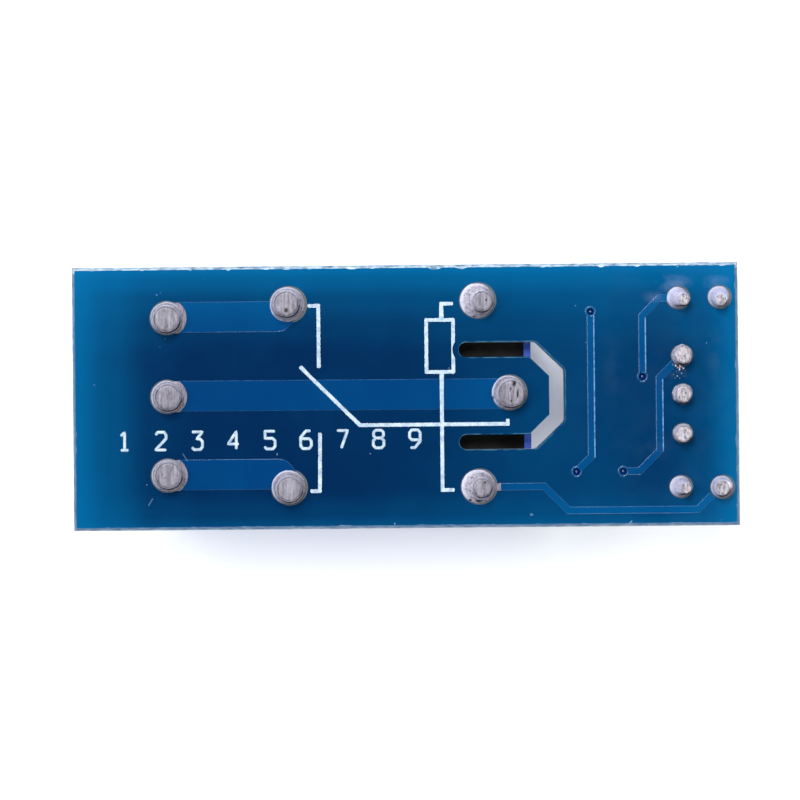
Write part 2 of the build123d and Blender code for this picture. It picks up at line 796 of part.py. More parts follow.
with BuildPart() as terminal_housing:
    with BuildSketch(across(terminal_centre_y)):
        with BuildLine():
            Polyline(
                (housing_back_x, level(seat_gap)),
                (housing_front_x, level(seat_gap)),
                (housing_front_x, level(ledge_height)),
                (housing_front_x + shoulder_setback, level(shoulder_height)),
                (housing_front_x + shoulder_setback, level(housing_height)),
                (housing_back_x, level(housing_height)),
                close=True,
            )
        make_face()
    extrude(amount=housing_half, both=True)
    chamfer(terminal_housing.faces().sort_by(Axis.Z)[0].edges().filter_by(Axis.Y), length=housing_edge)
    with BuildSketch(sheet(seat_gap)):
        with Locations((rib_x, terminal_centre_y + housing_half + rib_height / 2)):
            Trapezoid(rib_width, rib_height, rib_angle, rotation=180)
    extrude(amount=seat_gap - ledge_height)
    with BuildSketch(sheet(seat_gap)):
        with Locations((rib_x, terminal_centre_y - housing_half + (rib_height + rib_clearance) / 2)):
            Trapezoid(rib_width + 2 * rib_clearance, rib_height + rib_clearance, rib_angle, rotation=180)
    extrude(amount=seat_gap - ledge_height - rib_clearance, mode=Mode.SUBTRACT)
    with BuildSketch(sheet(0)):
        for y in terminal_rows:
            with Locations(((chamber_front_x + chamber_back_x) / 2, y)):
                Rectangle(chamber_back_x - chamber_front_x, chamber_width)
    extrude(amount=-chamber_height, mode=Mode.SUBTRACT)
    with BuildSketch(sheet(0)):
        with Locations(*[(cage_axis_x, y) for y in terminal_rows]):
            Circle(head_radius + head_fit)
    extrude(amount=-lip_low, mode=Mode.SUBTRACT)
    with BuildSketch(sheet(0)):
        with Locations(*[(cage_axis_x, y) for y in terminal_rows]):
            Circle(access_radius)
    extrude(amount=-housing_height, mode=Mode.SUBTRACT)
    mouth_middle = (wire_mouth_low + wire_mouth_high) / 2
    mouth_height = wire_mouth_high - wire_mouth_low
    for y in terminal_rows:
        mouth_centre = (housing_front_x, y, level(mouth_middle))
        mouth_plane = Plane(origin=mouth_centre, x_dir=(0, 1, 0), z_dir=(1, 0, 0))
        with BuildSketch(mouth_plane):
            Rectangle(wire_mouth_width, mouth_height)
        extrude(amount=chamber_front, mode=Mode.SUBTRACT)
        with BuildSketch(mouth_plane):
            Rectangle(wire_mouth_width + 2 * wire_funnel, mouth_height + 2 * wire_funnel)
        extrude(amount=wire_funnel, taper=45, mode=Mode.SUBTRACT)
terminal_housing.part.label = "terminal_housing"
export_step(terminal_housing.part, "parts/terminal_housing.step")


# Contact strips: each a folded strip with its pin, a floor plate, a back and the bar over the wire.
for number, y in enumerate(terminal_rows, start=1):
    with BuildPart() as contact_strip:
        with BuildSketch(across(y)):
            with BuildLine():
                Polyline(
                    (cage_axis_x - cage_depth / 2, level(strip_floor)),
                    (strip_back_x, level(strip_floor)),
                    (strip_back_x, level(bar_top)),
                    (chamber_front_x + bar_front_gap, level(bar_top)),
                    (chamber_front_x + bar_front_gap, level(bar_height)),
                    (strip_back_x - strip_thickness, level(bar_height)),
                    (strip_back_x - strip_thickness, level(strip_floor + strip_thickness)),
                    (cage_axis_x - cage_depth / 2, level(strip_floor + strip_thickness)),
                    close=True,
                )
            make_face()
        extrude(amount=strip_width / 2, both=True)
        with BuildSketch(Plane.XY.offset(tail_top)):
            with Locations((terminal_x, y)):
                Rectangle(terminal_pin_depth, terminal_pin_width)
        extrude(amount=-(tail_length + board_thickness + strip_floor))
    contact_strip.part.label = f"contact_strip_{number}"
    export_step(contact_strip.part, f"parts/contact_strip_{number}.step")


# Wire cages: square rings that the screw draws towards its head, so the wire is pinched under the bar.
for number, y in enumerate(terminal_rows, start=1):
    with BuildPart() as wire_cage:
        with BuildSketch(sheet(cage_low)):
            with Locations((cage_axis_x, y)):
                Rectangle(cage_depth, cage_width)
        extrude(amount=cage_low - cage_high)
        with BuildSketch(sheet(cage_window_low)):
            with Locations((cage_axis_x, y)):
                Rectangle(cage_depth, cage_width - 2 * cage_wall)
        extrude(amount=cage_window_low - cage_window_high, mode=Mode.SUBTRACT)
        with BuildSketch(sheet(cage_window_high)):
            with Locations((cage_axis_x, y)):
                Circle(screw_radius + screw_running_gap)
        extrude(amount=-cage_roof, mode=Mode.SUBTRACT)
    wire_cage.part.label = f"wire_cage_{number}"
    export_step(wire_cage.part, f"parts/wire_cage_{number}.step")


# Clamp screws: each bears on its bar and is held in by the lip round the access hole.
for number, y in enumerate(terminal_rows, start=1):
    with BuildPart() as clamp_screw:
        with BuildSketch(sheet(bar_top + screw_bar_gap)):
            with Locations((cage_axis_x, y)):
                Circle(screw_radius)
        extrude(amount=bar_top + screw_bar_gap - head_low)
        with BuildSketch(sheet(head_low)):
            with Locations((cage_axis_x, y)):
                Circle(head_radius)
        extrude(amount=-head_height)
        with BuildSketch(sheet(head_low + head_height)):
            with Locations((cage_axis_x, y)):
                Rectangle(2 * head_radius, screw_slot_width)
        extrude(amount=screw_slot_depth, mode=Mode.SUBTRACT)
    clamp_screw.part.label = f"clamp_screw_{number}"
    export_step(clamp_screw.part, f"parts/clamp_screw_{number}.step")


# Header spacer: the black moulding that holds the pins, notched between them.
header_low = seat_gap
header_high = header_low + header_body
header_length = header_pitch * header_count
with BuildPart() as header_spacer:
    with BuildSketch(sheet(header_low)):
        with Locations((header_x, 0)):
            Rectangle(header_body, header_length)
        for side in (-1, 1):
            for edge in range(header_count + 1):
                notch_y = (edge - header_count / 2) * header_pitch
                with Locations((header_x + side * header_body / 2, notch_y)):
                    Rectangle(header_notch, header_notch, rotation=45, mode=Mode.SUBTRACT)
        with Locations(*header_places):
            Rectangle(header_pin_side, header_pin_side, mode=Mode.SUBTRACT)
    extrude(amount=-header_body)
header_spacer.part.label = "header_spacer"
export_step(header_spacer.part, "parts/header_spacer.step")

# Header pins: square posts with pointed ends.
pin_length = tail_length + board_thickness + header_high + header_pin_reach
for number, y in enumerate(header_rows, start=1):
    with BuildPart() as header_pin:
        with BuildSketch(Plane.XY.offset(tail_top)):
            with Locations((header_x, y)):
                Rectangle(header_pin_side, header_pin_side)
        extrude(amount=-pin_length)
        point_edges = header_pin.faces().sort_by(Axis.Z)[0].edges()
        chamfer(point_edges, length=header_pin_taper, length2=header_pin_side / 4)
    header_pin.part.label = f"header_pin_{number}"
    export_step(header_pin.part, f"parts/header_pin_{number}.step")


# Indicator lamps: round-nosed lenses over a pair of leads, one lead ending in the wide anvil.
lamp_names = ["status", "power"]
lens_low = led_standoff
lens_high = lens_low + led_lens_height
dome_low = lens_high - led_radius
post_high = lens_low + led_post_depth
shelf_centre = (led_pitch + led_lead_side) / 4
shelf_length = (led_pitch - led_lead_side) / 2
for lamp_name, y in zip(lamp_names, led_rows):
    with BuildPart() as led_leads:
        with BuildSketch(Plane.XY.offset(tail_top)):
            with Locations(*[(x, y) for x in led_columns]):
                Rectangle(led_lead_side, led_lead_side)
        extrude(amount=-(tail_length + board_thickness + lens_low))
        with BuildSketch(sheet(lens_low)):
            with Locations(*[(led_x + side * shelf_centre, y) for side in (-1, 1)]):
                Rectangle(shelf_length, led_lead_side)
        extrude(amount=led_lead_side)
        with BuildSketch(sheet(lens_low)):
            with Locations(*[(led_x + side * led_lead_side, y) for side in (-1, 1)]):
                Rectangle(led_lead_side, led_lead_side)
        extrude(amount=-led_post_depth)
        with BuildSketch(sheet(post_high - led_anvil_height)):
            with Locations((led_x + led_lead_side / 4 - led_anvil_width / 2, y)):
                Rectangle(led_anvil_width, led_lead_side)
        extrude(amount=-led_anvil_height)
    led_leads.part.label = f"{lamp_name}_led_leads"
    export_step(led_leads.part, f"parts/{lamp_name}_led_leads.step")

    with BuildPart() as led_lens:
        with BuildSketch(across(y)):
            with BuildLine():
                Line((led_x, level(lens_low)), (led_x + led_flange_radius, level(lens_low)))
                Line(
                    (led_x + led_flange_radius, level(lens_low)),
                    (led_x + led_flange_radius, level(lens_low + led_flange_height)),
                )
                Line(
                    (led_x + led_flange_radius, level(lens_low + led_flange_height)),
                    (led_x + led_radius, level(lens_low + led_flange_height)),
                )
                Line(
                    (led_x + led_radius, level(lens_low + led_flange_height)),
                    (led_x + led_radius, level(dome_low)),
                )
                RadiusArc((led_x + led_radius, level(dome_low)), (led_x, level(lens_high)), led_radius)
                Line((led_x, level(lens_high)), (led_x, level(lens_low)))
            make_face()
        revolve(axis=Axis((led_x, y, 0), (0, 0, 1)))
        with BuildSketch(sheet(lens_low)):
            with Locations((led_x - led_flange_radius, y)):
                Rectangle(2 * led_flat, 2 * led_flange_radius)
        extrude(amount=-led_flange_height, mode=Mode.SUBTRACT)
        add(led_leads.part, mode=Mode.SUBTRACT)
    led_lens.part.label = f"{lamp_name}_led_lens"
    export_step(led_lens.part, f"parts/{lamp_name}_led_lens.step")


# Chip resistors: ceramic bodies with a metal cap at each end.
smd_low = copper_height
for number, (place, direction) in enumerate(zip(chips, chip_directions), start=1):
    chip_plane = Plane(origin=(*place, level(smd_low)), x_dir=(*direction, 0), z_dir=(0, 0, -1))
    with BuildPart() as chip_resistor:
        with BuildSketch(chip_plane):
            Rectangle(chip_length - 2 * chip_cap, chip_width)
        extrude(amount=chip_height)
    chip_resistor.part.label = f"chip_resistor_{number}"
    export_step(chip_resistor.part, f"parts/chip_resistor_{number}.step")

with BuildPart() as resistor_caps:
    for place, direction in zip(chips, chip_directions):
        chip_plane = Plane(origin=(*place, level(smd_low)), x_dir=(*direction, 0), z_dir=(0, 0, -1))
        with BuildSketch(chip_plane):
            with Locations(*[(side * (chip_length - chip_cap) / 2, 0) for side in (-1, 1)]):
                Rectangle(chip_cap, chip_width)
        extrude(amount=chip_height)
resistor_caps.part.label = "resistor_caps"
export_step(resistor_caps.part, "parts/resistor_caps.step")


# Driver transistor: a three-lead moulded body with gull-wing leads.
lead_centre = transistor_height / 2
lead_foot = transistor_lead_reach / 2
with BuildPart() as transistor_body:
    with BuildSketch(sheet(smd_low + smd_lead_thickness)):
        with Locations((transistor_x, transistor_y)):
            Rectangle(transistor_width, transistor_length)
    extrude(amount=-transistor_height)
    chamfer(transistor_body.faces().sort_by(Axis.Z)[0].edges(), length=transistor_height / 8)
transistor_body.part.label = "transistor_body"
export_step(transistor_body.part, "parts/transistor_body.step")

with BuildPart() as transistor_leads:
    for (x, y), side in zip((base_lead, emitter_lead, collector_lead), (-1, -1, 1)):
        body_side_x = transistor_x + side * transistor_width / 2
        knee_x = body_side_x + side * lead_foot
        with BuildSketch(across(y)):
            with BuildLine():
                Polyline(
                    (x, level(smd_low)),
                    (knee_x - side * smd_lead_thickness, level(smd_low)),
                    (knee_x - side * smd_lead_thickness, level(lead_centre)),
                    (body_side_x, level(lead_centre)),
                    (body_side_x, level(lead_centre + smd_lead_thickness)),
                    (knee_x, level(lead_centre + smd_lead_thickness)),
                    (knee_x, level(smd_low + smd_lead_thickness)),
                    (x, level(smd_low + smd_lead_thickness)),
                    close=True,
                )
            make_face()
        extrude(amount=transistor_lead_width / 2, both=True)
transistor_leads.part.label = "transistor_leads"
export_step(transistor_leads.part, "parts/transistor_leads.step")


# Flyback diode: a moulded body with a flat lead at each end.
with BuildPart() as diode_body:
    with BuildSketch(sheet(smd_low + smd_lead_thickness)):
        with Locations((diode_x, diode_y)):
            Rectangle(diode_length, diode_width)
    extrude(amount=-diode_height)
    chamfer(diode_body.faces().sort_by(Axis.Z)[0].edges(), length=diode_height / 8)
diode_body.part.label = "diode_body"
export_step(diode_body.part, "parts/diode_body.step")

with BuildPart() as diode_leads:
    for side in (-1, 1):
        body_side_x = diode_x + side * diode_length / 2
        with BuildSketch(sheet(smd_low)):
            with Locations((body_side_x + side * diode_lead_reach / 2, diode_y)):
                Rectangle(diode_lead_reach, diode_lead_width)
        extrude(amount=-smd_lead_thickness)
diode_leads.part.label = "diode_leads"
export_step(diode_leads.part, "parts/diode_leads.step")


# Surface solder: a small wedge at the end of every chip cap and lead.
wedges = []
for (x, y), (dx, dy) in zip(chips, chip_directions):
    for side in (-1, 1):
        end = (x + side * dx * chip_reach, y + side * dy * chip_reach)
        wedges.append((end, (side * dx, side * dy), chip_height / 2, chip_width))
for end, side in ((base_lead, -1), (emitter_lead, -1), (collector_lead, 1)):
    wedges.append((end, (side, 0), smd_lead_thickness, transistor_lead_width))
for end, side in zip(diode_ends, (-1, 1)):
    wedges.append((end, (side, 0), smd_lead_thickness, diode_lead_width))
with BuildPart() as surface_solder:
    for (x, y), (dx, dy), height, width in wedges:
        wedge_plane = Plane(
            origin=(x, y, level(smd_low)),
            x_dir=(dx, dy, 0),
            z_dir=Vector(dx, dy, 0).cross(Vector(0, 0, -1)),
        )
        with BuildSketch(wedge_plane):
            with BuildLine():
                Polyline((0, 0), (fillet_length, 0), (0, height), close=True)
            make_face()
        extrude(amount=width / 2, both=True)
surface_solder.part.label = "surface_solder"
export_step(surface_solder.part, "parts/surface_solder.step")
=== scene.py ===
# %% [markdown]
# # A relay module board, seen from its solder side
#
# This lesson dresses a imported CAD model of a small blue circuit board. The board lies on its relay,
# so the camera looks at the solder side: clipped pins in solder, wide load tracks under a blue mask,
# a printed relay symbol and a milled isolation slot. The CAD model is a fixed frame in metres.
# Nothing of it is moved here: its nodes get finishes, and a few get finer pieces in their place.

# %% Load the fixed frame
import json
import math

import bmesh
import bpy
from mathutils import Matrix, Vector, noise


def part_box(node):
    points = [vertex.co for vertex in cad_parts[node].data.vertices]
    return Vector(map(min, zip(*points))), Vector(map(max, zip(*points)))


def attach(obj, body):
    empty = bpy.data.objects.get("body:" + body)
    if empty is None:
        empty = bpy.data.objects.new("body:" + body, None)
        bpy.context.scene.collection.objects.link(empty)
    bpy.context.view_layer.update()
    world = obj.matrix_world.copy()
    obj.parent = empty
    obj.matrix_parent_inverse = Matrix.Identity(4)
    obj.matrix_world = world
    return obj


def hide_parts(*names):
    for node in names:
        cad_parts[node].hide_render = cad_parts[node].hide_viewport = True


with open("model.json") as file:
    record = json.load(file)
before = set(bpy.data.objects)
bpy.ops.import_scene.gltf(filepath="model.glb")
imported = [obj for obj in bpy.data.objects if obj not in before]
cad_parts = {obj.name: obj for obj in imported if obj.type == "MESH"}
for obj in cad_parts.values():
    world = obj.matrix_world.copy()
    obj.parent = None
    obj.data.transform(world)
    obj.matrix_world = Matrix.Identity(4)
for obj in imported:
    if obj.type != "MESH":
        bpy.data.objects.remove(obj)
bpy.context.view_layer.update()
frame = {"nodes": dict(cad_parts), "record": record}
nodes = frame["nodes"]
mm = 0.001
board_low, board_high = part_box("circuit_board")
solder_face = board_high.z
print("board is", round((board_high.x - board_low.x) / mm, 2), "mm long")

# %% [markdown]
# ## Camera and light
#
# The photograph looks straight down, so the camera hangs over the board with no tilt. A long lens
# keeps the perspective weak. The picture's scale and the board's slight turn were measured at its
# four corners. Wide lamps stand round the board at a slant: a shiny mask seen from above mirrors
# what is overhead, and with nothing bright there its blue stays deep.

# %% Camera over the board
picture_width = 800
pixels_per_mm = 15.508
picture_centre = (-0.3745, -0.2222)
camera_distance = 280
camera_turn = math.radians(-0.537)
camera_data = bpy.data.cameras.new("camera")
camera_data.sensor_width = 36
camera_data.lens = camera_data.sensor_width * pixels_per_mm * camera_distance / picture_width
camera_data.clip_start = 0.01
camera = bpy.data.objects.new("camera", camera_data)
camera.location = (picture_centre[0] * mm, picture_centre[1] * mm, solder_face + camera_distance * mm)
camera.rotation_euler = (0, 0, camera_turn)
scene = bpy.context.scene
scene.collection.objects.link(camera)
scene.camera = camera
scene.view_settings.view_transform = "Standard"
print("lens", round(camera_data.lens, 1), "mm")


# %% Soft lamps round the board: direction and power
lamp_distance = 0.45
lamp_size = 0.14
lamps = {
    "key_lamp": ((-0.12, 0.42, 1.0), 2.5),
    "left_lamp": ((-0.50, 0.10, 1.0), 0.9),
    "right_lamp": ((0.50, 0.08, 1.0), 0.7),
    "front_lamp": ((0.06, -0.46, 1.0), 0.8),
}
for name, (direction, power) in lamps.items():
    data = bpy.data.lights.new(name, "AREA")
    data.shape = "SQUARE"
    data.size = lamp_size
    data.energy = power
    lamp = bpy.data.objects.new(name, data)
    lamp.location = Vector(direction).normalized() * lamp_distance
    lamp.rotation_euler = Vector(direction).to_track_quat("Z", "Y").to_euler()
    scene.collection.objects.link(lamp)
print(len(lamps), "lamps")

# %% A room that is bright round the horizon and dark overhead
room_fall = {"From Min": 0.42, "From Max": 0.74, "To Min": 0.9, "To Max": 0.02}
world = bpy.data.worlds.new("studio")
world.use_nodes = True
room = world.node_tree
backdrop = room.nodes["Background"]
backdrop.inputs["Color"].default_value = (0.80, 0.90, 1.0, 1)
direction = room.nodes.new("ShaderNodeTexCoord")
height = room.nodes.new("ShaderNodeSeparateXYZ")
fall = room.nodes.new("ShaderNodeMapRange")
room.links.new(direction.outputs["Generated"], height.inputs[0])
room.links.new(height.outputs["Z"], fall.inputs["Value"])
for title, value in room_fall.items():
    fall.inputs[title].default_value = value
room.links.new(fall.outputs["Result"], backdrop.inputs["Strength"])
scene.world = world
print("the room falls off from", room_fall["To Min"], "to", room_fall["To Max"])

# %% [markdown]
# ## A small kit for procedural finishes
#
# Each finish is a Principled shader whose colour, roughness and bump come from noise on Object
# coordinates. The frame is in metres, so a noise scale of 1000 gives cells one millimetre wide.


def linear(red, green, blue):
    """A colour given in screen values from 0 to 255, as the shader wants it."""
    values = [value / 255 for value in (red, green, blue)]
    return [v / 12.92 if v <= 0.04045 else ((v + 0.055) / 1.055) ** 2.4 for v in values] + [1.0]


class Finish:
    """A new material and short calls that add nodes to it."""

    def __init__(self, name, **sockets):
        self.material = bpy.data.materials.new(name)
        self.material.use_nodes = True
        self.tree = self.material.node_tree
        self.shader = self.tree.nodes["Principled BSDF"]
        for title, value in sockets.items():
            self.shader.inputs[title.replace("_", " ")].default_value = value
        self.coordinates = self.add("ShaderNodeTexCoord")
        self.place = self.coordinates.outputs["Object"]

    def add(self, kind, inputs=None, **settings):
        """One node, with its settings and its sockets filled with values or links."""
        node = self.tree.nodes.new(kind)
        for key, value in settings.items():
            setattr(node, key, value)
        for key, value in (inputs or {}).items():
            if isinstance(value, bpy.types.NodeSocket):
                self.tree.links.new(value, node.inputs[key])
            else:
                node.inputs[key].default_value = value
        return node

    def set(self, title, value):
        """Link a value to a socket of the shader."""
        self.tree.links.new(value, self.shader.inputs[title])

    def math(self, operation, first, second=0.0):
        """One step of arithmetic. The short names below stand for the commonest ones."""
        return self.add("ShaderNodeMath", {0: first, 1: second}, operation=operation).outputs[0]

    def plus(self, first, second):
        return self.math("ADD", first, second)

    def minus(self, first, second):
        return self.math("SUBTRACT", first, second)

    def times(self, first, second):
        return self.math("MULTIPLY", first, second)

    def larger(self, first, second):
        return self.math("MAXIMUM", first, second)

    def smaller(self, first, second):
        return self.math("MINIMUM", first, second)

    def above(self, value, limit):
        return self.math("GREATER_THAN", value, limit)

    def below(self, value, limit):
        return self.math("LESS_THAN", value, limit)

    def span(self, value, low, high, to_low=0.0, to_high=1.0):
        """Stretch a value from one range to another, and keep it inside."""
        keys = {"Value": value, "From Min": low, "From Max": high, "To Min": to_low, "To Max": to_high}
        return self.add("ShaderNodeMapRange", keys).outputs["Result"]

    def stretch(self, x=1.0, y=1.0, z=1.0):
        """Object coordinates, longer or shorter along an axis."""
        return self.add("ShaderNodeMapping", {"Vector": self.place, "Scale": (x, y, z)}).outputs["Vector"]

    def noise(self, scale, detail=3.0, rough=0.55, place=None):
        """Cloudy noise, mostly between 0.3 and 0.7."""
        keys = {"Vector": place or self.place, "Scale": scale, "Detail": detail, "Roughness": rough}
        return self.add("ShaderNodeTexNoise", keys).outputs["Fac"]

    def cells(self, scale):
        """Distance from the nearest of many scattered points, for dots and pits."""
        keys = {"Vector": self.place, "Scale": scale}
        return self.add("ShaderNodeTexVoronoi", keys).outputs["Distance"]

    def mix(self, factor, first, second):
        """Blend two colours."""
        node = self.add("ShaderNodeMix", data_type="RGBA")
        for index, value in ((0, factor), (6, first), (7, second)):
            if isinstance(value, bpy.types.NodeSocket):
                self.tree.links.new(value, node.inputs[index])
            else:
                node.inputs[index].default_value = value
        return node.outputs[2]

    def curve(self, value, stops):
        """A number read off a line through a few stops, from 0 to 1 along the line."""
        ramp = self.add("ShaderNodeValToRGB", {"Fac": value})
        band = ramp.color_ramp
        band.interpolation = "EASE"
        while len(band.elements) < len(stops):
            band.elements.new(0.5)
        for element, (position, height) in zip(band.elements, stops):
            element.position = position
            element.color = (height, height, height, 1)
        return ramp.outputs["Color"]

    def axis(self, index):
        """X, Y or Z of the object coordinates."""
        return self.add("ShaderNodeSeparateXYZ", {"Vector": self.place}).outputs[index]

    def patch(self, x, y, reach_x, reach_y, core=0.5):
        """1 near a place given in millimetres, fading to 0 at this reach."""
        scale = (1 / (reach_x * mm), 1 / (reach_y * mm), 0)
        shift = (-x / reach_x, -y / reach_y, 0)
        near = self.add("ShaderNodeMapping", {"Vector": self.place, "Location": shift, "Scale": scale})
        far = self.add("ShaderNodeVectorMath", {0: near.outputs["Vector"]}, operation="LENGTH")
        return self.span(far.outputs["Value"], core, 1.0, 1.0, 0.0)

    def bump(self, height, strength, distance):
        """Small relief, whose full height is given in millimetres."""
        keys = {"Height": height, "Strength": strength, "Distance": distance * mm}
        self.set("Normal", self.add("ShaderNodeBump", keys).outputs["Normal"])


# %% [markdown]
# ## The solder mask
#
# A board's mask is a thin glossy varnish. It looks dark over bare laminate and lighter over copper.
# On this board, light and shade are also painted into its colour: it is paler towards the ends and
# the long edges, as a painted reflection of the lamps, and darker across the middle, as painted shade
# where the relay and the terminal block stand behind the board. Two ramps, one along the board and
# one across it, carry this painted light. Round the slot the mask stops short of the cut, which
# leaves a thin pale line. On top lie a haze of flux, fine dust, and a few specks and short scratches
# where the photograph has them. The edges of copper tracks get a painted highlight, stronger on those
# turned up the board towards the key lamp: the attribute "painted_edge_highlight" says where. The cut
# sides of the board show bare glass cloth.

# %% Lit and shaded mask colours, and how much painted light falls along and across the board
# The shaded and lit colours are one varnish in painted shade and in painted light.
mask_shaded = linear(0, 37, 77)
mask_lit = linear(0, 105, 160)
copper_shaded = linear(0, 57, 109)
copper_lit = linear(0, 112, 168)
lamp_level = 0.55
mask_gloss = 0.12
painted_light_along = [(0, 0.66), (0.057, 0.31), (0.12, 0.05), (0.2, 0), (0.45, 0.02)]
painted_light_along += [(0.76, 0.17), (0.88, 0.11), (0.94, 0.22), (1, 0.66)]
painted_light_across = [(0, 0.29), (0.06, 0.11), (0.16, 0), (0.66, 0)]
painted_light_across += [(0.76, 0.08), (0.87, 0.22), (0.943, 0.48), (1, 0.78)]


def dim(colour):
    """The same colour under this scene's bright lamps."""
    return [value * lamp_level for value in colour[:3]] + [1.0]


def painted_light_on_mask(finish):
    """How much painted light the mask gets at a place: 0 in the middle, near 1 at a corner."""
    lengthwise = finish.curve(finish.span(finish.axis("X"), -board_high.x, board_high.x), painted_light_along)
    crosswise = finish.curve(finish.span(finish.axis("Y"), -board_high.y, board_high.y), painted_light_across)
    both = finish.times(lengthwise, crosswise)
    either = finish.minus(finish.plus(lengthwise, crosswise), both)
    cloud = finish.span(finish.noise(260, 3), 0.3, 0.7, -0.03, 0.03)
    return finish.span(finish.plus(either, cloud), 0, 1)


print(len(painted_light_along), "stops along the board and", len(painted_light_across), "across it")

# %% The slot's distance, for the line where the mask ends
slot_width = 0.95 * mm
slot_runs = [((3.9, 2.98), (8.15, 2.98)), ((8.15, 2.98), (9.73, 1.45)), ((9.73, 1.45), (9.73, 0.0))]
mask_shift = 0.05 * mm


def distance_to_run(finish, x, y, start, end):
    """How far a place (in metres) lies from a straight run between two points (in millimetres)."""
    run = Vector(end) - Vector(start)
    length = run.length * mm
    run.normalize()
    from_x = finish.minus(x, start[0] * mm)
    from_y = finish.minus(y, start[1] * mm)
    forward = finish.plus(finish.times(from_x, run.x), finish.times(from_y, run.y))
    clamped = finish.larger(finish.smaller(forward, length), 0.0)
    left_x = finish.minus(from_x, finish.times(clamped, run.x))
    left_y = finish.minus(from_y, finish.times(clamped, run.y))
    return finish.math("SQRT", finish.plus(finish.times(left_x, left_x), finish.times(left_y, left_y)))


def slot_distance(finish):
    """Distance from the slot's centre line, with the mask's small offset."""
    x = finish.minus(finish.axis("X"), mask_shift)
    y = finish.math("ABSOLUTE", finish.axis("Y"))
    nearest = 1.0
    for start, end in slot_runs:
        nearest = finish.smaller(distance_to_run(finish, x, y, start, end), nearest)
    return nearest


print(len(slot_runs), "runs of the slot")

# %% Where flux has left a thin haze: place, reach along and across (millimetres), and how much
flux_places = [
    (17.25, 7.15, 1.5, 0.65, 0.24),
    (20.1, 7.2, 1.1, 0.55, 0.20),
    (16.0, 6.3, 0.9, 0.5, 0.12),
    (19.9, 2.6, 0.7, 2.6, 0.035),
    (17.6, 1.25, 0.8, 0.45, 0.12),
    (16.0, -3.6, 2.2, 1.4, 0.02),
    (13.3, 1.5, 0.8, 3.2, 0.018),
]
print(len(flux_places), "hazy places")

# %% Specks, as above, and short scratches: both ends (millimetres), and how much
specks = [
    (-16.00, 6.70, 0.06, 0.05, 0.38),
    (-15.76, 6.83, 0.04, 0.04, 0.20),
    (-20.08, 0.93, 0.06, 0.05, 0.25),
    (-16.75, -5.54, 0.05, 0.05, 0.32),
    (-8.33, -3.65, 0.04, 0.10, 0.45),
    (-15.48, 3.87, 0.04, 0.04, 0.22),
    (-15.83, 3.34, 0.04, 0.04, 0.15),
    (-0.79, -8.19, 0.06, 0.07, 0.45),
    (8.04, -7.69, 0.14, 0.10, 0.22),
    (17.60, 8.22, 0.06, 0.06, 0.5),
]
scratches = [
    ((-14.41, -3.57), (-14.12, -4.01), 0.15),
    ((-16.64, -6.86), (-16.39, -6.45), 0.2),
    ((14.32, -8.35), (14.50, -8.17), 0.5),
]
print(len(specks), "specks,", len(scratches), "scratches")


# %% What lies on the mask
def flux_haze(finish):
    """How much flux lies at a place: a trace towards the header, and more round some joints."""
    flux = finish.times(finish.span(finish.axis("X"), 8 * mm, 16 * mm), 0.007)
    for x, y, reach_x, reach_y, amount in flux_places:
        film = finish.times(finish.patch(x, y, reach_x, reach_y, 0.2), amount)
        flux = finish.larger(flux, film)
    cloud = finish.span(finish.noise(620, 5, 0.6), 0.40, 0.62)
    return finish.times(flux, cloud)


def dust_and_scratches(finish):
    """How dusty a place is: scattered dots in some areas, the single specks and the scratches."""
    dots = finish.below(finish.cells(800), 0.03)
    areas = finish.above(finish.noise(300, 2), 0.56)
    dust = finish.times(finish.times(dots, areas), 0.4)
    for x, y, reach_x, reach_y, amount in specks:
        speck = finish.times(finish.patch(x, y, reach_x, reach_y), amount)
        dust = finish.larger(dust, speck)
    for start, end, amount in scratches:
        away = distance_to_run(finish, finish.axis("X"), finish.axis("Y"), start, end)
        line = finish.span(away, 0.015 * mm, 0.05 * mm, amount, 0.0)
        dust = finish.larger(dust, line)
    return dust


# %% The mask over copper, and the mask over laminate
def track_edge_highlights(finish, colour):
    """The colour with painted highlights on the edges of the tracks, broken up by noise, which are duller
    too.
    """
    edge = finish.add("ShaderNodeAttribute", attribute_name="painted_edge_highlight").outputs["Fac"]
    highlight_breaks = finish.span(finish.noise(4200, 3), 0.38, 0.58, 0.25, 1.0)
    finish.set("Roughness", finish.plus(finish.times(edge, 0.5), mask_gloss))
    return finish.mix(finish.times(edge, highlight_breaks), colour, dim(linear(112, 168, 226)))


def board_edges(finish, colour):
    """The colour with the thin line round the slot, and with glass cloth on the cut sides."""
    ring = finish.minus(slot_distance(finish), slot_width / 2 + 0.045 * mm)
    line = finish.span(finish.math("ABSOLUTE", ring), 0.015 * mm, 0.035 * mm, 1.0, 0.0)
    broken = finish.span(finish.noise(1500, 2), 0.35, 0.6)
    colour = finish.mix(finish.times(line, broken), colour, dim(linear(66, 116, 136)))
    facing = finish.add("ShaderNodeSeparateXYZ", {"Vector": finish.coordinates.outputs["Normal"]})
    side = finish.below(finish.math("ABSOLUTE", facing.outputs["Z"]), 0.9)
    fibre = finish.noise(2600, 4, 0.7, finish.stretch(0.35, 1, 1))
    bare = finish.mix(fibre, dim(linear(70, 100, 120)), dim(linear(235, 245, 250)))
    finish.set("Roughness", finish.plus(finish.times(side, 0.6), mask_gloss))
    return finish.mix(side, colour, bare)


def mask_finish(name, deep, pale, edges):
    finish = Finish(name, IOR=1.5, Specular_IOR_Level=0.2)
    # The colour runs from the shaded to the lit copy: painted shade in the middle, painted light at the
    # corners.
    colour = finish.mix(painted_light_on_mask(finish), dim(deep), dim(pale))
    colour = finish.mix(flux_haze(finish), colour, dim(linear(150, 172, 205)))
    colour = finish.mix(dust_and_scratches(finish), colour, dim(linear(170, 205, 235)))
    finish.set("Base Color", edges(finish, colour))
    finish.bump(finish.noise(3000, 3), 0.08, 0.003)
    return finish.material
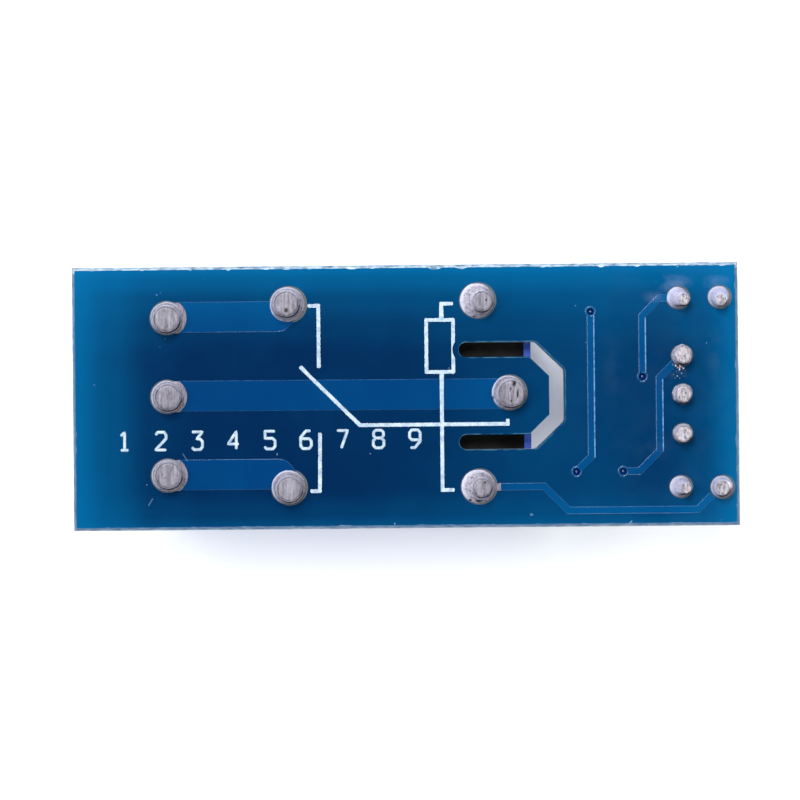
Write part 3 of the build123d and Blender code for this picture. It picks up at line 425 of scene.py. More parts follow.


# %% [markdown]
# ## Metals
#
# Rolled and plated strips are smooth, with fine lines along the rolling. Solder that was dipped and
# then clipped is dull, grainy and slightly pitted. Its attribute "painted_shading" is painted on the
# points of a joint: above 0 it is painted shade, dark and without shine, and below 0 it is a painted
# highlight, a bright rim.


# %% Rolled and plated metal
def metal_finish(name, colour, roughness, lines=(1, 1, 1)):
    """Grain in the bump, patches in the roughness, and a darker tone in the grain's hollows."""
    finish = Finish(name, Metallic=1.0)
    grains = finish.noise(4000, 4, 0.65, finish.stretch(*lines))
    patches = finish.noise(700, 3)
    dark = [value * 0.55 for value in colour[:3]] + [1.0]
    finish.set("Base Color", finish.mix(finish.span(grains, 0.3, 0.55), dark, colour))
    finish.set("Roughness", finish.span(patches, 0.3, 0.7, roughness - 0.08, roughness + 0.10))
    finish.bump(grains, 0.6, 0.010)
    return finish.material


# %% Pits in the solder: place, and reach along and across (millimetres)
pit_places = [
    (6.95, 0.76, 0.17, 0.24),
    (6.73, 0.42, 0.08, 0.16),
    (7.18, 0.12, 0.09, 0.34),
    (6.76, -0.36, 0.07, 0.11),
    (5.64, -0.15, 0.08, 0.20),
    (-7.62, 5.60, 0.17, 0.21),
    (5.22, 6.15, 0.09, 0.09),
    (4.80, 6.66, 0.09, 0.07),
    (4.44, 5.12, 0.12, 0.08),
    (4.09, -6.72, 0.13, 0.12),
    (5.02, -5.56, 0.11, 0.09),
    (4.66, -6.76, 0.38, 0.12),
    (18.40, 2.24, 0.08, 0.07),
    (17.25, 1.98, 0.12, 0.09),
]
print(len(pit_places), "pits")


# %% Solder
def solder_pits(finish):
    """1 in a pit: fine ones scattered in some areas, and the larger, torn ones of the list."""
    dots = finish.below(finish.cells(2600), 0.13)
    areas = finish.above(finish.noise(900, 2), 0.55)
    pits = finish.times(finish.times(dots, areas), 0.7)
    torn = finish.span(finish.noise(7000, 3), 0.3, 0.7, 0.5, 1.5)
    for x, y, reach_x, reach_y in pit_places:
        pit = finish.times(finish.patch(x, y, reach_x, reach_y, 0.45), torn)
        pits = finish.larger(pits, pit)
    return pits


def solder_finish(name, dark, bright, streaks=None, rough=(0.42, 0.56), grain_depth=0.018):
    """Dull tin alloy. A clipped end has streaks left by the cutter: how fine and how short they are."""
    finish = Finish(name, Specular_IOR_Level=0.3)
    # The attribute is painted light: above 0 painted shade, below 0 painted highlight.
    painted = finish.add("ShaderNodeAttribute", attribute_name="painted_shading").outputs["Fac"]
    painted_shading = finish.larger(painted, 0.0)
    painted_highlight = finish.larger(finish.times(painted, -1.0), 0.0)
    grains = finish.noise(5200, 5, 0.7)
    if streaks:
        fine, short = streaks
        lines = finish.noise(5200 * fine, 4, 0.7, finish.stretch(1, short, 1))
        relief = finish.plus(finish.times(lines, 0.75), finish.times(grains, 0.25))
        tone = finish.span(relief, 0.35, 0.62)
    else:
        relief = finish.plus(grains, finish.times(finish.noise(1400, 3), 0.8))
        tone = finish.span(grains, 0.34, 0.56)
    # Painted shade and the dark pits make the solder dark and dull, and the painted highlight makes it
    # pale.
    darkness = finish.larger(painted_shading, solder_pits(finish))
    colour = finish.mix(painted_highlight, finish.mix(tone, dark, bright), linear(228, 228, 244))
    finish.set("Base Color", finish.mix(darkness, colour, linear(20, 15, 18)))
    shine = finish.minus(1.0, darkness)
    finish.set("Metallic", finish.times(shine, 0.3 if streaks else 0.5))
    dullness = finish.span(finish.noise(1800, 3), 0.3, 0.7, *rough)
    finish.set("Roughness", finish.larger(dullness, finish.times(darkness, 0.95)))
    finish.bump(relief, 0.7, grain_depth)
    return finish.material


# %% [markdown]
# ## Mouldings, ink and lenses
#
# Moulded parts get a faint skin texture in the bump and slow patches in the gloss, so a large flat
# side doesn't look like paint. The printed ink is matt and a little uneven. The lamps' lenses are
# tinted resin: light goes in, scatters and comes out coloured.


# %% Plastic, ink and lens finishes
def moulded_finish(name, colour, roughness, skin=3500, glow=0.0, shine=0.5):
    finish = Finish(name, IOR=1.5, Specular_IOR_Level=shine, Subsurface_Weight=glow)
    finish.shader.inputs["Subsurface Radius"].default_value = (0.0003, 0.0004, 0.0008)
    patches = finish.noise(350, 3)
    pale = [min(1.0, value * 1.08 + 0.003) for value in colour[:3]] + [1.0]
    finish.set("Base Color", finish.mix(finish.span(patches, 0.3, 0.7), colour, pale))
    finish.set("Roughness", finish.span(patches, 0.3, 0.7, roughness - 0.02, roughness + 0.04))
    finish.bump(finish.noise(skin, 3), 0.2, 0.006)
    return finish.material


def ink_finish(name):
    finish = Finish(name, Roughness=0.62)
    patches = finish.noise(3200, 4, 0.6)
    thin, full = dim(linear(142, 168, 190)), dim(linear(190, 208, 223))
    finish.set("Base Color", finish.mix(finish.span(patches, 0.35, 0.6), thin, full))
    finish.bump(patches, 0.5, 0.008)
    return finish.material


def lens_finish(name, colour):
    finish = Finish(name, IOR=1.5, Transmission_Weight=0.75)
    patches = finish.noise(600, 3)
    deep = [value * 0.7 for value in colour[:3]] + [1.0]
    finish.set("Base Color", finish.mix(patches, deep, colour))
    finish.set("Roughness", finish.span(patches, 0.3, 0.7, 0.12, 0.24))
    finish.bump(finish.noise(2500, 2), 0.1, 0.003)
    return finish.material


# %% One finish for each material slot of the record
finishes = {
    "board_mask": mask_finish("board_mask", mask_shaded, mask_lit, board_edges),
    "masked_copper": mask_finish("masked_copper", copper_shaded, copper_lit, track_edge_highlights),
    "print_ink": ink_finish("print_ink"),
    "solder": solder_finish("solder", linear(100, 94, 102), linear(180, 174, 188)),
    "case_blue": moulded_finish("case_blue", linear(8, 52, 138), 0.26, glow=0.05),
    "base_black": moulded_finish("base_black", linear(18, 18, 20), 0.45),
    "seal_resin": moulded_finish("seal_resin", linear(5, 5, 6), 0.16, shine=0.3),
    "bobbin_plastic": moulded_finish("bobbin_plastic", linear(216, 208, 190), 0.5),
    "enamelled_wire": metal_finish("enamelled_wire", linear(190, 110, 62), 0.32, lines=(0.3, 0.3, 3)),
    "soft_iron": metal_finish("soft_iron", linear(178, 178, 182), 0.42),
    "spring_bronze": metal_finish("spring_bronze", linear(206, 160, 104), 0.34, lines=(0.2, 1, 1)),
    "contact_silver": metal_finish("contact_silver", linear(232, 231, 226), 0.28),
    "tinned_metal": metal_finish("tinned_metal", linear(205, 204, 206), 0.36, lines=(1, 1, 0.3)),
    "terminal_blue": moulded_finish("terminal_blue", linear(20, 92, 178), 0.34, glow=0.05),
    "plated_steel": metal_finish("plated_steel", linear(198, 200, 206), 0.33, lines=(1, 0.4, 1)),
    "header_black": moulded_finish("header_black", linear(20, 20, 22), 0.48),
    "gilt_pin": metal_finish("gilt_pin", linear(222, 186, 110), 0.28, lines=(1, 1, 0.25)),
    "lens_red": lens_finish("lens_red", linear(220, 24, 20)),
    "lens_green": lens_finish("lens_green", linear(40, 190, 60)),
    "chip_ceramic": moulded_finish("chip_ceramic", linear(26, 26, 28), 0.3),
    "chip_epoxy": moulded_finish("chip_epoxy", linear(24, 24, 25), 0.5),
}
for entry in frame["record"]["subparts"]:
    cad_materials = nodes[entry["node"]].data.materials
    cad_materials.clear()
    cad_materials.append(finishes[entry["material_slot"]])
print(len(finishes), "finishes on", len(nodes), "nodes")

# %% Solder of the clipped ends, and the clean slopes of the LED joints
long_streaks = (1.0, 0.12)
short_streaks = (1.7, 0.45)
sheared_solder = solder_finish(
    "sheared_solder", linear(54, 51, 58), linear(112, 109, 120), long_streaks, grain_depth=0.012
)
speckled_solder = solder_finish(
    "speckled_solder", linear(46, 42, 46), linear(150, 146, 153), short_streaks, grain_depth=0.03
)
smooth_solder = solder_finish(
    "smooth_solder", linear(176, 170, 190), linear(206, 200, 222), rough=(0.28, 0.38), grain_depth=0.004
)
print("solder finishes:", sheared_solder.name, speckled_solder.name, smooth_solder.name)

# %% [markdown]
# ## Helpers for new pieces
#
# A piece is shaped in a bmesh, becomes an object at the origin, and rides on the body "board", so
# that it moves with it.


# %% Finish a bmesh as a piece
def make_piece(name, shape, materials, smooth=True):
    """An object from a bmesh, with its materials, that rides on the board."""
    mesh = bpy.data.meshes.new(name)
    for face in shape.faces:
        face.smooth = smooth
    shape.to_mesh(mesh)
    shape.free()
    piece = bpy.data.objects.new(name, mesh)
    scene.collection.objects.link(piece)
    for material in materials:
        mesh.materials.append(material)
    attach(piece, "board")
    print(name, len(mesh.polygons), "faces")
    return piece


# %% Shaping steps that several pieces share
def round_edges(shape, edges, offset, segments):
    bmesh.ops.bevel(
        shape,
        geom=edges,
        offset=offset,
        offset_type="OFFSET",
        affect="EDGES",
        segments=segments,
        profile=0.5,
        material=-1,
    )


def add_box(shape, size, centre):
    """A box, returned as its points."""
    verts = bmesh.ops.create_cube(shape, size=1)["verts"]
    bmesh.ops.scale(shape, verts=verts, vec=size)
    bmesh.ops.translate(shape, verts=verts, vec=centre)
    return verts


def grow_ring(shape, ring):
    """Extrude a ring of edges, and return the new edges and points."""
    grown = bmesh.ops.extrude_edge_only(shape, edges=ring)["geom"]
    edges = [item for item in grown if isinstance(item, bmesh.types.BMEdge)]
    return edges, [item for item in grown if isinstance(item, bmesh.types.BMVert)]


# %% [markdown]
# ## Tracks with soft edges
#
# The varnish flows over the edge of a copper track and makes a slope that catches the light as a
# thin bright line. The CAD tracks have square edges, so this piece is a merged copy whose upper
# edges are bevelled, and the bevels also get a painted highlight, stronger on those turned up the
# board towards the key lamp. Along the right side of the narrow runs, between the relay and the
# header, a low bar on the track stands for a ridge of dried varnish, and its paleness is a painted
# highlight.


# %% Copy a node and find its upper edges
def merged_copy(node_name):
    """The faces of a CAD node, joined up and with flat areas dissolved."""
    shape = bmesh.new()
    shape.from_mesh(nodes[node_name].data)
    bmesh.ops.remove_doubles(shape, verts=shape.verts, dist=1e-7)
    flat = math.radians(0.5)
    bmesh.ops.dissolve_limit(shape, angle_limit=flat, verts=shape.verts, edges=shape.edges)
    return shape


def upper_rim(shape, level):
    """Edges between an upward face and a side face at this height."""
    rim = []
    for edge in shape.edges:
        if min(vert.co.z for vert in edge.verts) < level - 1e-6 or len(edge.link_faces) != 2:
            continue
        heights = sorted(abs(face.normal.z) for face in edge.link_faces)
        if heights[0] < 0.1 and heights[1] > 0.9:
            rim.append(edge)
    return rim


# %% Tracks under the mask
track_slope = 0.045 * mm
ridge_width = 0.075 * mm
ridge_height = 0.012 * mm
shortest_ridge = 1.2 * mm
first_ridge_x = 8 * mm
ridge_highlight = 0.7
track_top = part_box("solder_side_tracks")[1].z
track_shape = merged_copy("solder_side_tracks")
ridges = []
for edge in upper_rim(track_shape, track_top):
    start, end = (vert.co.copy() for vert in edge.verts)
    faces_right = any(face.normal.x > 0.9 for face in edge.link_faces)
    if faces_right and edge.calc_length() > shortest_ridge and start.x > first_ridge_x:
        ridges.append((start, end))
round_edges(track_shape, upper_rim(track_shape, track_top), track_slope, 3)
# Painted highlight on the bevels: faint on all, stronger on those turned up the board, towards the key
# lamp.
painted_edge_highlight = track_shape.faces.layers.float.new("painted_edge_highlight")
for face in track_shape.faces:
    if abs(face.normal.z) < 0.98 and face.calc_center_median().z > solder_face:
        face[painted_edge_highlight] = 0.07 + 0.14 * max(0.0, face.normal.y)
# The low bars of dried varnish get a strong painted highlight.
for start, end in ridges:
    centre = (start + end) / 2 + Vector((-ridge_width / 2, 0, 0))
    ridge = add_box(track_shape, (ridge_width, (end - start).length, ridge_height), centre)
    for face in {face for vert in ridge for face in vert.link_faces}:
        face[painted_edge_highlight] = ridge_highlight
masked = finishes["masked_copper"]
track_relief = make_piece("track_relief", track_shape, [masked], smooth=False)
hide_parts("solder_side_tracks")

# %% [markdown]
# ## Solder joints
#
# A joint is a ring of solder drawn up round its pin and cut off with it. Each starts as a circle on
# the board that is extruded upwards in rings. The rings lean towards the clipped end, which is never
# quite in the middle. A groove under the cut gets painted shade, most on the side away from the key
# lamp, and the rim towards the lamp gets a painted highlight. Noise pushes the rings in and out, so no
# two joints are alike.

# %% The joints: CAD node, manner, and a row each of x, y, foot radius, tip radius and lean (millimetres)
joints = {
    "terminal_solder": (
        "terminal_joints",
        {"shoulder": 0.50, "shade_strength": 0.25, "ragged": 0.025},
        [
            (-15.37, 5.20, 1.04, 0.85, 0.03, -0.08),
            (-15.38, 0.12, 1.04, 0.84, 0.09, -0.03),
            (-15.38, -4.96, 1.04, 0.86, 0.08, 0.04),
        ],
    ),
    "relay_solder": (
        "relay_joints",
        {"shoulder": 0.60, "shade_strength": 0.42, "ragged": 0.03},
        [
            (-7.58, 6.00, 1.13, 0.82, -0.05, 0.02),
            (-7.60, -5.79, 1.10, 0.82, 0.06, -0.09),
            (4.64, 6.15, 1.11, 0.65, 0.33, -0.065),
            (4.63, -5.85, 1.10, 0.61, 0.21, -0.05),
            (6.63, 0.20, 1.09, 0.87, 0.16, -0.05),
        ],
    ),
    "led_solder": (
        "led_joints",
        {"shoulder": 0.95, "shade_strength": 1.05, "ragged": 0.05},
        [
            (17.58, 6.21, 0.69, 0.37, 0.32, -0.13),
            (20.24, 6.24, 0.70, 0.36, 0.04, -0.23),
            (17.65, -5.97, 0.68, 0.34, 0.30, -0.075),
            (20.33, -6.02, 0.72, 0.46, -0.03, -0.045),
        ],
    ),
    "header_solder": (
        "header_joints",
        {"shoulder": 0.50, "shade_strength": 0.9, "ragged": 0.12},
        [
            (17.78, 2.50, 0.625, 0.565, 0.05, 0.02),
            (17.79, 0.03, 0.585, 0.53, 0.05, -0.03),
            (17.79, -2.52, 0.58, 0.525, 0.04, -0.03),
        ],
    ),
}


# %% Raise one joint from its foot to its clipped end
solder_over_lead = 0.03 * mm
tip_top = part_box("contact_strip_1")[1].z + solder_over_lead
# The key lamp's direction, and the side that gets the painted highlight, for the joints' painted shading.
lamp_direction = Vector((-0.42, 0.91))
highlight_direction = Vector((-0.8, 0.6))


def raise_ring(shape, ring, radius, centre, height, roughness, seed):
    """Extrude a ring of edges upwards and set its new radius, centre and height."""
    edges, verts = grow_ring(shape, ring)
    middle = sum((vert.co for vert in verts), Vector()) / len(verts)
    for vert in verts:
        direction = Vector((vert.co.x - middle.x, vert.co.y - middle.y, 0)).normalized()
        wobble = noise.noise(Vector((direction.x * 1.6 + seed, direction.y * 1.6, height / mm)))
        wobble += 0.5 * noise.noise(Vector((direction.x * 5 + seed, direction.y * 5, height / mm)))
        vert.co = centre + direction * radius * (1 + roughness * wobble)
        vert.co.z = height + 0.4 * roughness * radius * wobble
    return edges, verts


def paint_shade_and_highlight(vert, centre, darkness, painted_highlight):
    """Painted shade on the side away from the lamp, less a painted highlight on the upper left."""
    direction = (vert.co - centre).to_2d().normalized()
    shaded = min(1.0, max(0.0, -0.5 * direction.dot(lamp_direction) / 0.35))
    lit = min(1.0, max(0.0, 0.5 + direction.dot(highlight_direction)))
    return darkness * shaded - painted_highlight * lit


def add_joint(shape, painted_shading, x, y, foot, tip, lean_x, lean_y, shoulder, shade_strength, ragged):
    """One joint: foot, rim, slope, groove, clipped disc."""
    seed = x * 3.7 + y * 1.3
    base = Vector((x * mm, y * mm, solder_face))
    lean = Vector((lean_x * mm, lean_y * mm, 0))
    start = bmesh.ops.create_circle(shape, cap_ends=False, segments=64, radius=foot * mm)
    bmesh.ops.translate(shape, verts=start["verts"], vec=base)
    ring = list({edge for vert in start["verts"] for edge in vert.link_edges})
    band = foot - tip
    # Height, radius and share of the lean of each ring, and how much painted shade and painted highlight
    # its two sides get.
    steps = [
        (0.06, foot, 0.00, 0.6 * shade_strength, 0.5),
        (0.13, foot - 0.05, 0.00, 0.6 * shade_strength, 0.9),
        (0.12 + shoulder * 0.40, foot - band * 0.45, 0.30, 0.8 * shade_strength, 0.0),
        (0.12 + shoulder * 0.80, tip + 0.105, 0.85, shade_strength, 0.0),
        (0.12 + shoulder, tip + 0.055, 1.00, 1.0, 0.2),
        (0.20 + shoulder, tip + 0.005, 1.00, 1.0, 0.4),
        (0.74 + shoulder * 0.5, tip, 1.00, 0.2, 0.5),
        (1.28, tip - 0.005, 1.00, 0.1, 0.5),
    ]
    for height, radius, drift, darkness, painted_highlight in steps:
        centre = base + lean * drift
        ring, verts = raise_ring(shape, ring, radius * mm, centre, solder_face + height * mm, ragged, seed)
        for vert in verts:
            vert[painted_shading] = paint_shade_and_highlight(vert, centre, darkness, painted_highlight)
    for share in (0.97, 0.75, 0.5, 0.25):
        ring, verts = raise_ring(shape, ring, tip * share * mm, base + lean, tip_top, ragged, seed)
        for vert in verts:
            vert.co.z = tip_top
            vert[painted_shading] = 0.0
    bmesh.ops.contextual_create(shape, geom=ring)


def mark_clipped_ends(shape, level):
    """Give the level faces above this height the second material, the streaked solder."""
    for face in shape.faces:
        if face.normal.z > 0.97 and face.calc_center_median().z > level:
            face.material_index = 1


# %% Raise all the joints
lowest_tip = 1.3 * mm
for piece_name, (node_name, manner, places) in joints.items():
    joint_shape = bmesh.new()
    shading_layer = joint_shape.verts.layers.float.new("painted_shading")
    for place in places:
        add_joint(joint_shape, shading_layer, *place, **manner)
    bmesh.ops.recalc_face_normals(joint_shape, faces=joint_shape.faces)
    joint_shape.normal_update()
    mark_clipped_ends(joint_shape, solder_face + lowest_tip)
    slope_finish = smooth_solder if piece_name == "led_solder" else finishes["solder"]
    tip_finish = speckled_solder if piece_name in ("header_solder", "led_solder") else sheared_solder
    solder_piece = make_piece(piece_name, joint_shape, [slope_finish, tip_finish])
    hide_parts(node_name)


# %% [markdown]
# ## Leads inside the joints
#
# The leads of the LEDs and of the relay's coil would stand out of a joint that leans away from them,
# so copies that end lower, inside the solder, take their place.


# %% Leads cut off inside their joints
def shorten(node_name, slot, level):
    """A copy of a node whose highest points come down to this level."""
    shape = merged_copy(node_name)
    for vert in shape.verts:
        vert.co.z = min(vert.co.z, solder_face + level)
    piece = make_piece(node_name + "_cut", shape, [finishes[slot]], smooth=False)
    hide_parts(node_name)


shorten("power_led_leads", "tinned_metal", 0.4 * mm)
shorten("status_led_leads", "tinned_metal", 0.4 * mm)
shorten("coil_terminals", "tinned_metal", 0.5 * mm)

# %% [markdown]
# ## The printed symbol
#
# Ink pressed through a mesh screen has slightly stepped edges and rounded ends. The CAD strokes are
# copied, their corners rounded, their sides divided and then nudged by noise. The print stops round
# the end of the slot, which bites a round piece out of the coil's rectangle.

# %% Ways to move the outline of the ink
edge_step = 0.05 * mm
edge_wander = 0.035 * mm
edge_cell = 0.055 * mm
coil_growth = 0.010 * mm
line_growth = -0.022 * mm


def move_sides(shape, amount_at):
    """Move the sides of the strokes outwards, or inwards where the amount is below zero."""
    moves = []
    for vert in shape.verts:
        sides = [face.normal for face in vert.link_faces if abs(face.normal.z) < 0.5]
        total = sum(sides, Vector())
        total.z = 0
        if total.length > 0.1:
            moves.append((vert, total * len(sides) / total.length_squared * amount_at(vert)))
    for vert, move in moves:
        vert.co += move


def stroke_change(vert):
    """The coil's rectangle is printed a little fatter than the plain lines."""
    in_coil = 1.1 * mm < vert.co.x < 3.4 * mm and 1.3 * mm < vert.co.y < 5.1 * mm
    return coil_growth if in_coil else line_growth


def roughen_outline(shape):
    """Divide each side into short faces and push each point sideways a little."""
    for side in [face for face in shape.faces if abs(face.normal.z) < 0.5]:
        level = [edge for edge in side.edges if abs(edge.verts[0].co.z - edge.verts[1].co.z) < 1e-7]
        cuts = int(level[0].calc_length() / edge_step) if level else 0
        if cuts:
            bmesh.ops.subdivide_edges(shape, edges=level, cuts=cuts)
    for vert in shape.verts:
        place = vert.co / edge_cell
        place.z = 0
        vert.co.x += edge_wander * noise.noise(place)
        vert.co.y += edge_wander * noise.noise(place + Vector((31.7, 5.1, 0)))


# %% Ink strokes with soft, uneven edges
corner_round = 0.09 * mm
print_shift = 0.05 * mm
slot_end = Vector((3.87 * mm, 2.98 * mm))
slot_bite = 0.84 * mm
symbol_shape = merged_copy("printed_symbol")
corners = [
    edge
    for edge in symbol_shape.edges
    if abs(edge.verts[0].co.z - edge.verts[1].co.z) > 0.02 * mm and edge.calc_face_angle_signed(0) > 1.0
]
round_edges(symbol_shape, corners, corner_round, 4)
bmesh.ops.recalc_face_normals(symbol_shape, faces=symbol_shape.faces)
move_sides(symbol_shape, stroke_change)
roughen_outline(symbol_shape)
for vert in symbol_shape.verts:
    vert.co.x -= print_shift
    apart = vert.co.to_2d() - slot_end
    if apart.length < slot_bite:
        vert.co.x, vert.co.y = slot_end + apart.normalized() * slot_bite
symbol_ink = make_piece("symbol_ink", symbol_shape, [finishes["print_ink"]], smooth=False)
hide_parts("printed_symbol")

# %% [markdown]
# ## Numbers
#
# Beside the symbol the board carries a row of plain figures from 1 to 9, printed with the same ink.
# Each figure is drawn as pen strokes on a small grid, five units high and three wide. A curve with a
# round section follows the strokes, becomes a mesh, and is pressed flat like a bead of ink.

# %% Pen strokes of the figures
figures = {
    "1": [[(0.4, 4.0), (1.5, 5), (1.5, 0)], [(0.4, 0), (2.6, 0)]],
    "2": [[(0, 4.2), (0.6, 5), (2.4, 5), (3, 4.2), (3, 3.2), (0, 0), (3, 0)]],
    "3": [[(0, 5), (3, 5), (1.4, 3), (2.3, 3), (3, 2.3), (3, 0.8), (2.4, 0), (0.6, 0), (0, 0.7)]],
    "4": [[(2.3, 0), (2.3, 5), (0, 1.5), (3, 1.5)]],
    "5": [[(3, 5), (0.2, 5), (0.2, 3), (2.3, 3), (3, 2.3), (3, 0.8), (2.4, 0), (0.6, 0), (0, 0.7)]],
    "6": [
        [(2.8, 5), (1.5, 5), (0, 3.2), (0, 0.8), (0.6, 0)]
        + [(2.4, 0), (3, 0.8), (3, 2.1), (2.4, 2.8), (0.3, 2.8)],
    ],
    "7": [[(0, 5), (3, 5), (1.2, 0)]],
    "8": [
        [(0.8, 2.8), (0.1, 3.4), (0.1, 4.4), (0.7, 5), (2.3, 5)]
        + [(2.9, 4.4), (2.9, 3.4), (2.2, 2.8), (0.8, 2.8)],
        [(0.8, 2.8), (0, 2.1), (0, 0.7), (0.7, 0), (2.3, 0), (3, 0.7), (3, 2.1), (2.2, 2.8)],
    ],
    "9": [
        [(0.2, 0), (1.5, 0), (3, 1.8), (3, 4.2), (2.4, 5)]
        + [(0.6, 5), (0, 4.2), (0, 2.9), (0.6, 2.2), (2.7, 2.2)],
    ],
}
print(len(figures), "figures")

# %% The pen that draws them
figure_height = 1.14 * mm
figure_stroke = 0.20 * mm
first_figure = Vector((-18.5 * mm, -3.30 * mm, 0))
figure_step = 2.34 * mm
ink_thickness = 0.03 * mm
unit = figure_height / 5
pen = bpy.data.curves.new("pen", "CURVE")
pen.dimensions = "3D"
pen.bevel_depth = figure_stroke / 2
pen.bevel_resolution = 2
pen.use_fill_caps = True


def with_short_bends(stroke, near=0.28):
    """The stroke's points, with one more on each side of a bend, so that the pen keeps its width."""
    points = []
    for start, end in zip(stroke, stroke[1:]):
        start, end = Vector(start), Vector(end)
        step = (end - start).normalized() * near
        points += [start, start + step, end - step]
    return points + [Vector(stroke[-1])]


# %% Draw the figures in a row and press them flat
for index, strokes in enumerate(figures.values()):
    corner = first_figure + Vector((index * figure_step, 0, 0))
    for stroke in strokes:
        points = with_short_bends(stroke)
        spline = pen.splines.new("POLY")
        spline.points.add(len(points) - 1)
        for point, (x, y) in zip(spline.points, points):
            point.co = (corner.x + x * unit, corner.y + y * unit, 0, 1)
        for end in (spline.points[0], spline.points[-1]):
            end.radius = 0.6
drawn = bpy.data.objects.new("drawn", pen)
figure_mesh = bpy.data.meshes.new_from_object(drawn)
bpy.data.objects.remove(drawn)
figure_shape = bmesh.new()
figure_shape.from_mesh(figure_mesh)
bmesh.ops.scale(figure_shape, verts=figure_shape.verts, vec=(1, 1, 2 * ink_thickness / figure_stroke))
bmesh.ops.translate(figure_shape, verts=figure_shape.verts, vec=(0, 0, solder_face))
bmesh.ops.recalc_face_normals(figure_shape, faces=figure_shape.faces)
make_piece("figure_ink", figure_shape, [finishes["print_ink"]])

# %% [markdown]
# ## Bare rings and mask plugs
#
# The mask leaves each pad free with a small margin, and it sits a little off to the right and up, so
# a thin crescent of bare laminate shows beside each joint. A dark disc a little wider than each
# joint's foot is painted shade round the joint. At the terminals the wide track runs into the opening
# and is tinned there. The vias are closed by mask.

# %% Thin discs round the joints (margins in millimetres)
film = 0.006 * mm
opening_margin = 0.07
shade_margin = 0.05
opening_shift = 0.07


def add_disc(shape, x, y, radius, low):
    """A very thin round plate whose underside lies this far above the solder face."""
    disc = bmesh.ops.create_circle(shape, cap_ends=True, segments=56, radius=radius)
    bmesh.ops.translate(shape, verts=disc["verts"], vec=(x * mm, y * mm, solder_face + low))
    faces = list({face for vert in disc["verts"] for face in vert.link_faces})
    raised = bmesh.ops.extrude_face_region(shape, geom=faces)["geom"]
    lifted = [item for item in raised if isinstance(item, bmesh.types.BMVert)]
    bmesh.ops.translate(shape, verts=lifted, vec=(0, 0, film))


ring_shape = bmesh.new()
shade_disc_shape = bmesh.new()
for node_name, _, places in joints.values():
    shift = 0.0 if node_name == "terminal_joints" else opening_shift
    for x, y, foot, *_ in places:
        add_disc(ring_shape, x + shift, y, (foot + opening_margin) * mm, 0)
        add_disc(shade_disc_shape, x, y, (foot + shade_margin) * mm, film)
for shape in (ring_shape, shade_disc_shape):
    bmesh.ops.recalc_face_normals(shape, faces=shape.faces)
laminate = moulded_finish("bare_laminate", dim(linear(48, 66, 64)), 0.5, skin=6000)
# A dark disc a little wider than each joint's foot is painted shade round the joint.
painted_foot_shade = moulded_finish("painted_foot_shade", dim(linear(4, 24, 48)), 0.4, skin=6000)
make_piece("mask_openings", ring_shape, [laminate], smooth=False)
make_piece("painted_joint_shade", shade_disc_shape, [painted_foot_shade], smooth=False)

# %% Tinned copper at the right of the terminal joints, and a tab at one coil joint
tin_radius = 1.225 * mm
tin_shift = 0.05
tin_shape = bmesh.new()
track_height = track_top - solder_face
# Each cut: a point on it, counted from the joint's centre, and the side that goes.
cutters = [((0.3, 0.0), (-1, 0)), ((0.0, 0.99), (0, 1)), ((0.0, -0.99), (0, -1))]
for x, y, *_ in joints["terminal_solder"][2]:
    add_disc(tin_shape, x + tin_shift, y, tin_radius, track_height)
    for offset, away in cutters:
        near = {face for face in tin_shape.faces if abs(face.calc_center_median().y - y * mm) < 1.6 * mm}
        edges = {edge for face in near for edge in face.edges}
        verts = {vert for face in near for vert in face.verts}
        bmesh.ops.bisect_plane(
            tin_shape,
            geom=list(near | edges | verts),
            plane_co=((x + offset[0]) * mm, (y + offset[1]) * mm, 0),
            plane_no=(*away, 0),
            clear_outer=True,
        )
tab_size = (0.5 * mm, 0.48 * mm, 0.03 * mm)
tab_place = (5.83 * mm, -5.88 * mm, track_top + 0.012 * mm)
add_box(tin_shape, tab_size, tab_place)
bmesh.ops.recalc_face_normals(tin_shape, faces=tin_shape.faces)
make_piece("tinned_edges", tin_shape, [sheared_solder], smooth=False)

# %% [markdown]
# ## Splashed solder
#
# Bits of solder and burnt flux stick to the mask between two header joints. They are small balls,
# pushed out of shape by noise and flattened.

# %% Bits of solder splashed beside the top header joint: place and radius (millimetres)
splash_shape = bmesh.new()
splashes = [
    (17.43, 1.86, 0.12), (17.58, 1.74, 0.10), (17.74, 1.80, 0.12), (17.90, 1.68, 0.08),
    (17.25, 1.92, 0.09), (17.66, 1.58, 0.07), (17.30, 1.26, 0.04), (17.52, 1.16, 0.045),
    (17.78, 1.32, 0.04), (17.40, 1.04, 0.035), (18.02, 1.52, 0.04), (17.16, 1.58, 0.05),
    (17.47, 1.45, 0.05), (17.66, 1.02, 0.03), (17.95, 1.14, 0.03),
]
for x, y, size in splashes:
    bead = bmesh.ops.create_icosphere(splash_shape, subdivisions=3, radius=size * mm)
    for vert in bead["verts"]:
        vert.co *= 1 + 0.7 * noise.noise(vert.co / (0.06 * mm) + Vector((x * 9, y * 9, 0)))
        vert.co.z *= 0.5
    bmesh.ops.translate(splash_shape, verts=bead["verts"], vec=(x * mm, y * mm, solder_face + 0.02 * mm))
for index, face in enumerate(splash_shape.faces):
    face.material_index = 1 if noise.noise(face.calc_center_median() / (0.09 * mm)) > 0.0 else 0
burnt_flux = moulded_finish("burnt_flux", linear(22, 18, 20), 0.4, skin=9000)
make_piece("solder_splash", splash_shape, [finishes["solder"], burnt_flux])

# %% [markdown]
# ## Scored edges
#
# Such boards are scored with a V-shaped blade and snapped apart. The scored slope shows the glass
# cloth, and the mask along it is chipped. The strip is barest and palest along the top edge and
# darker along the bottom, partly from real chipping and partly as painted light and painted shade
# from the key lamp above the top edge. This strip follows the slope and laps over the mask with a
# ragged line: a loop round the board that is extruded inwards twice.

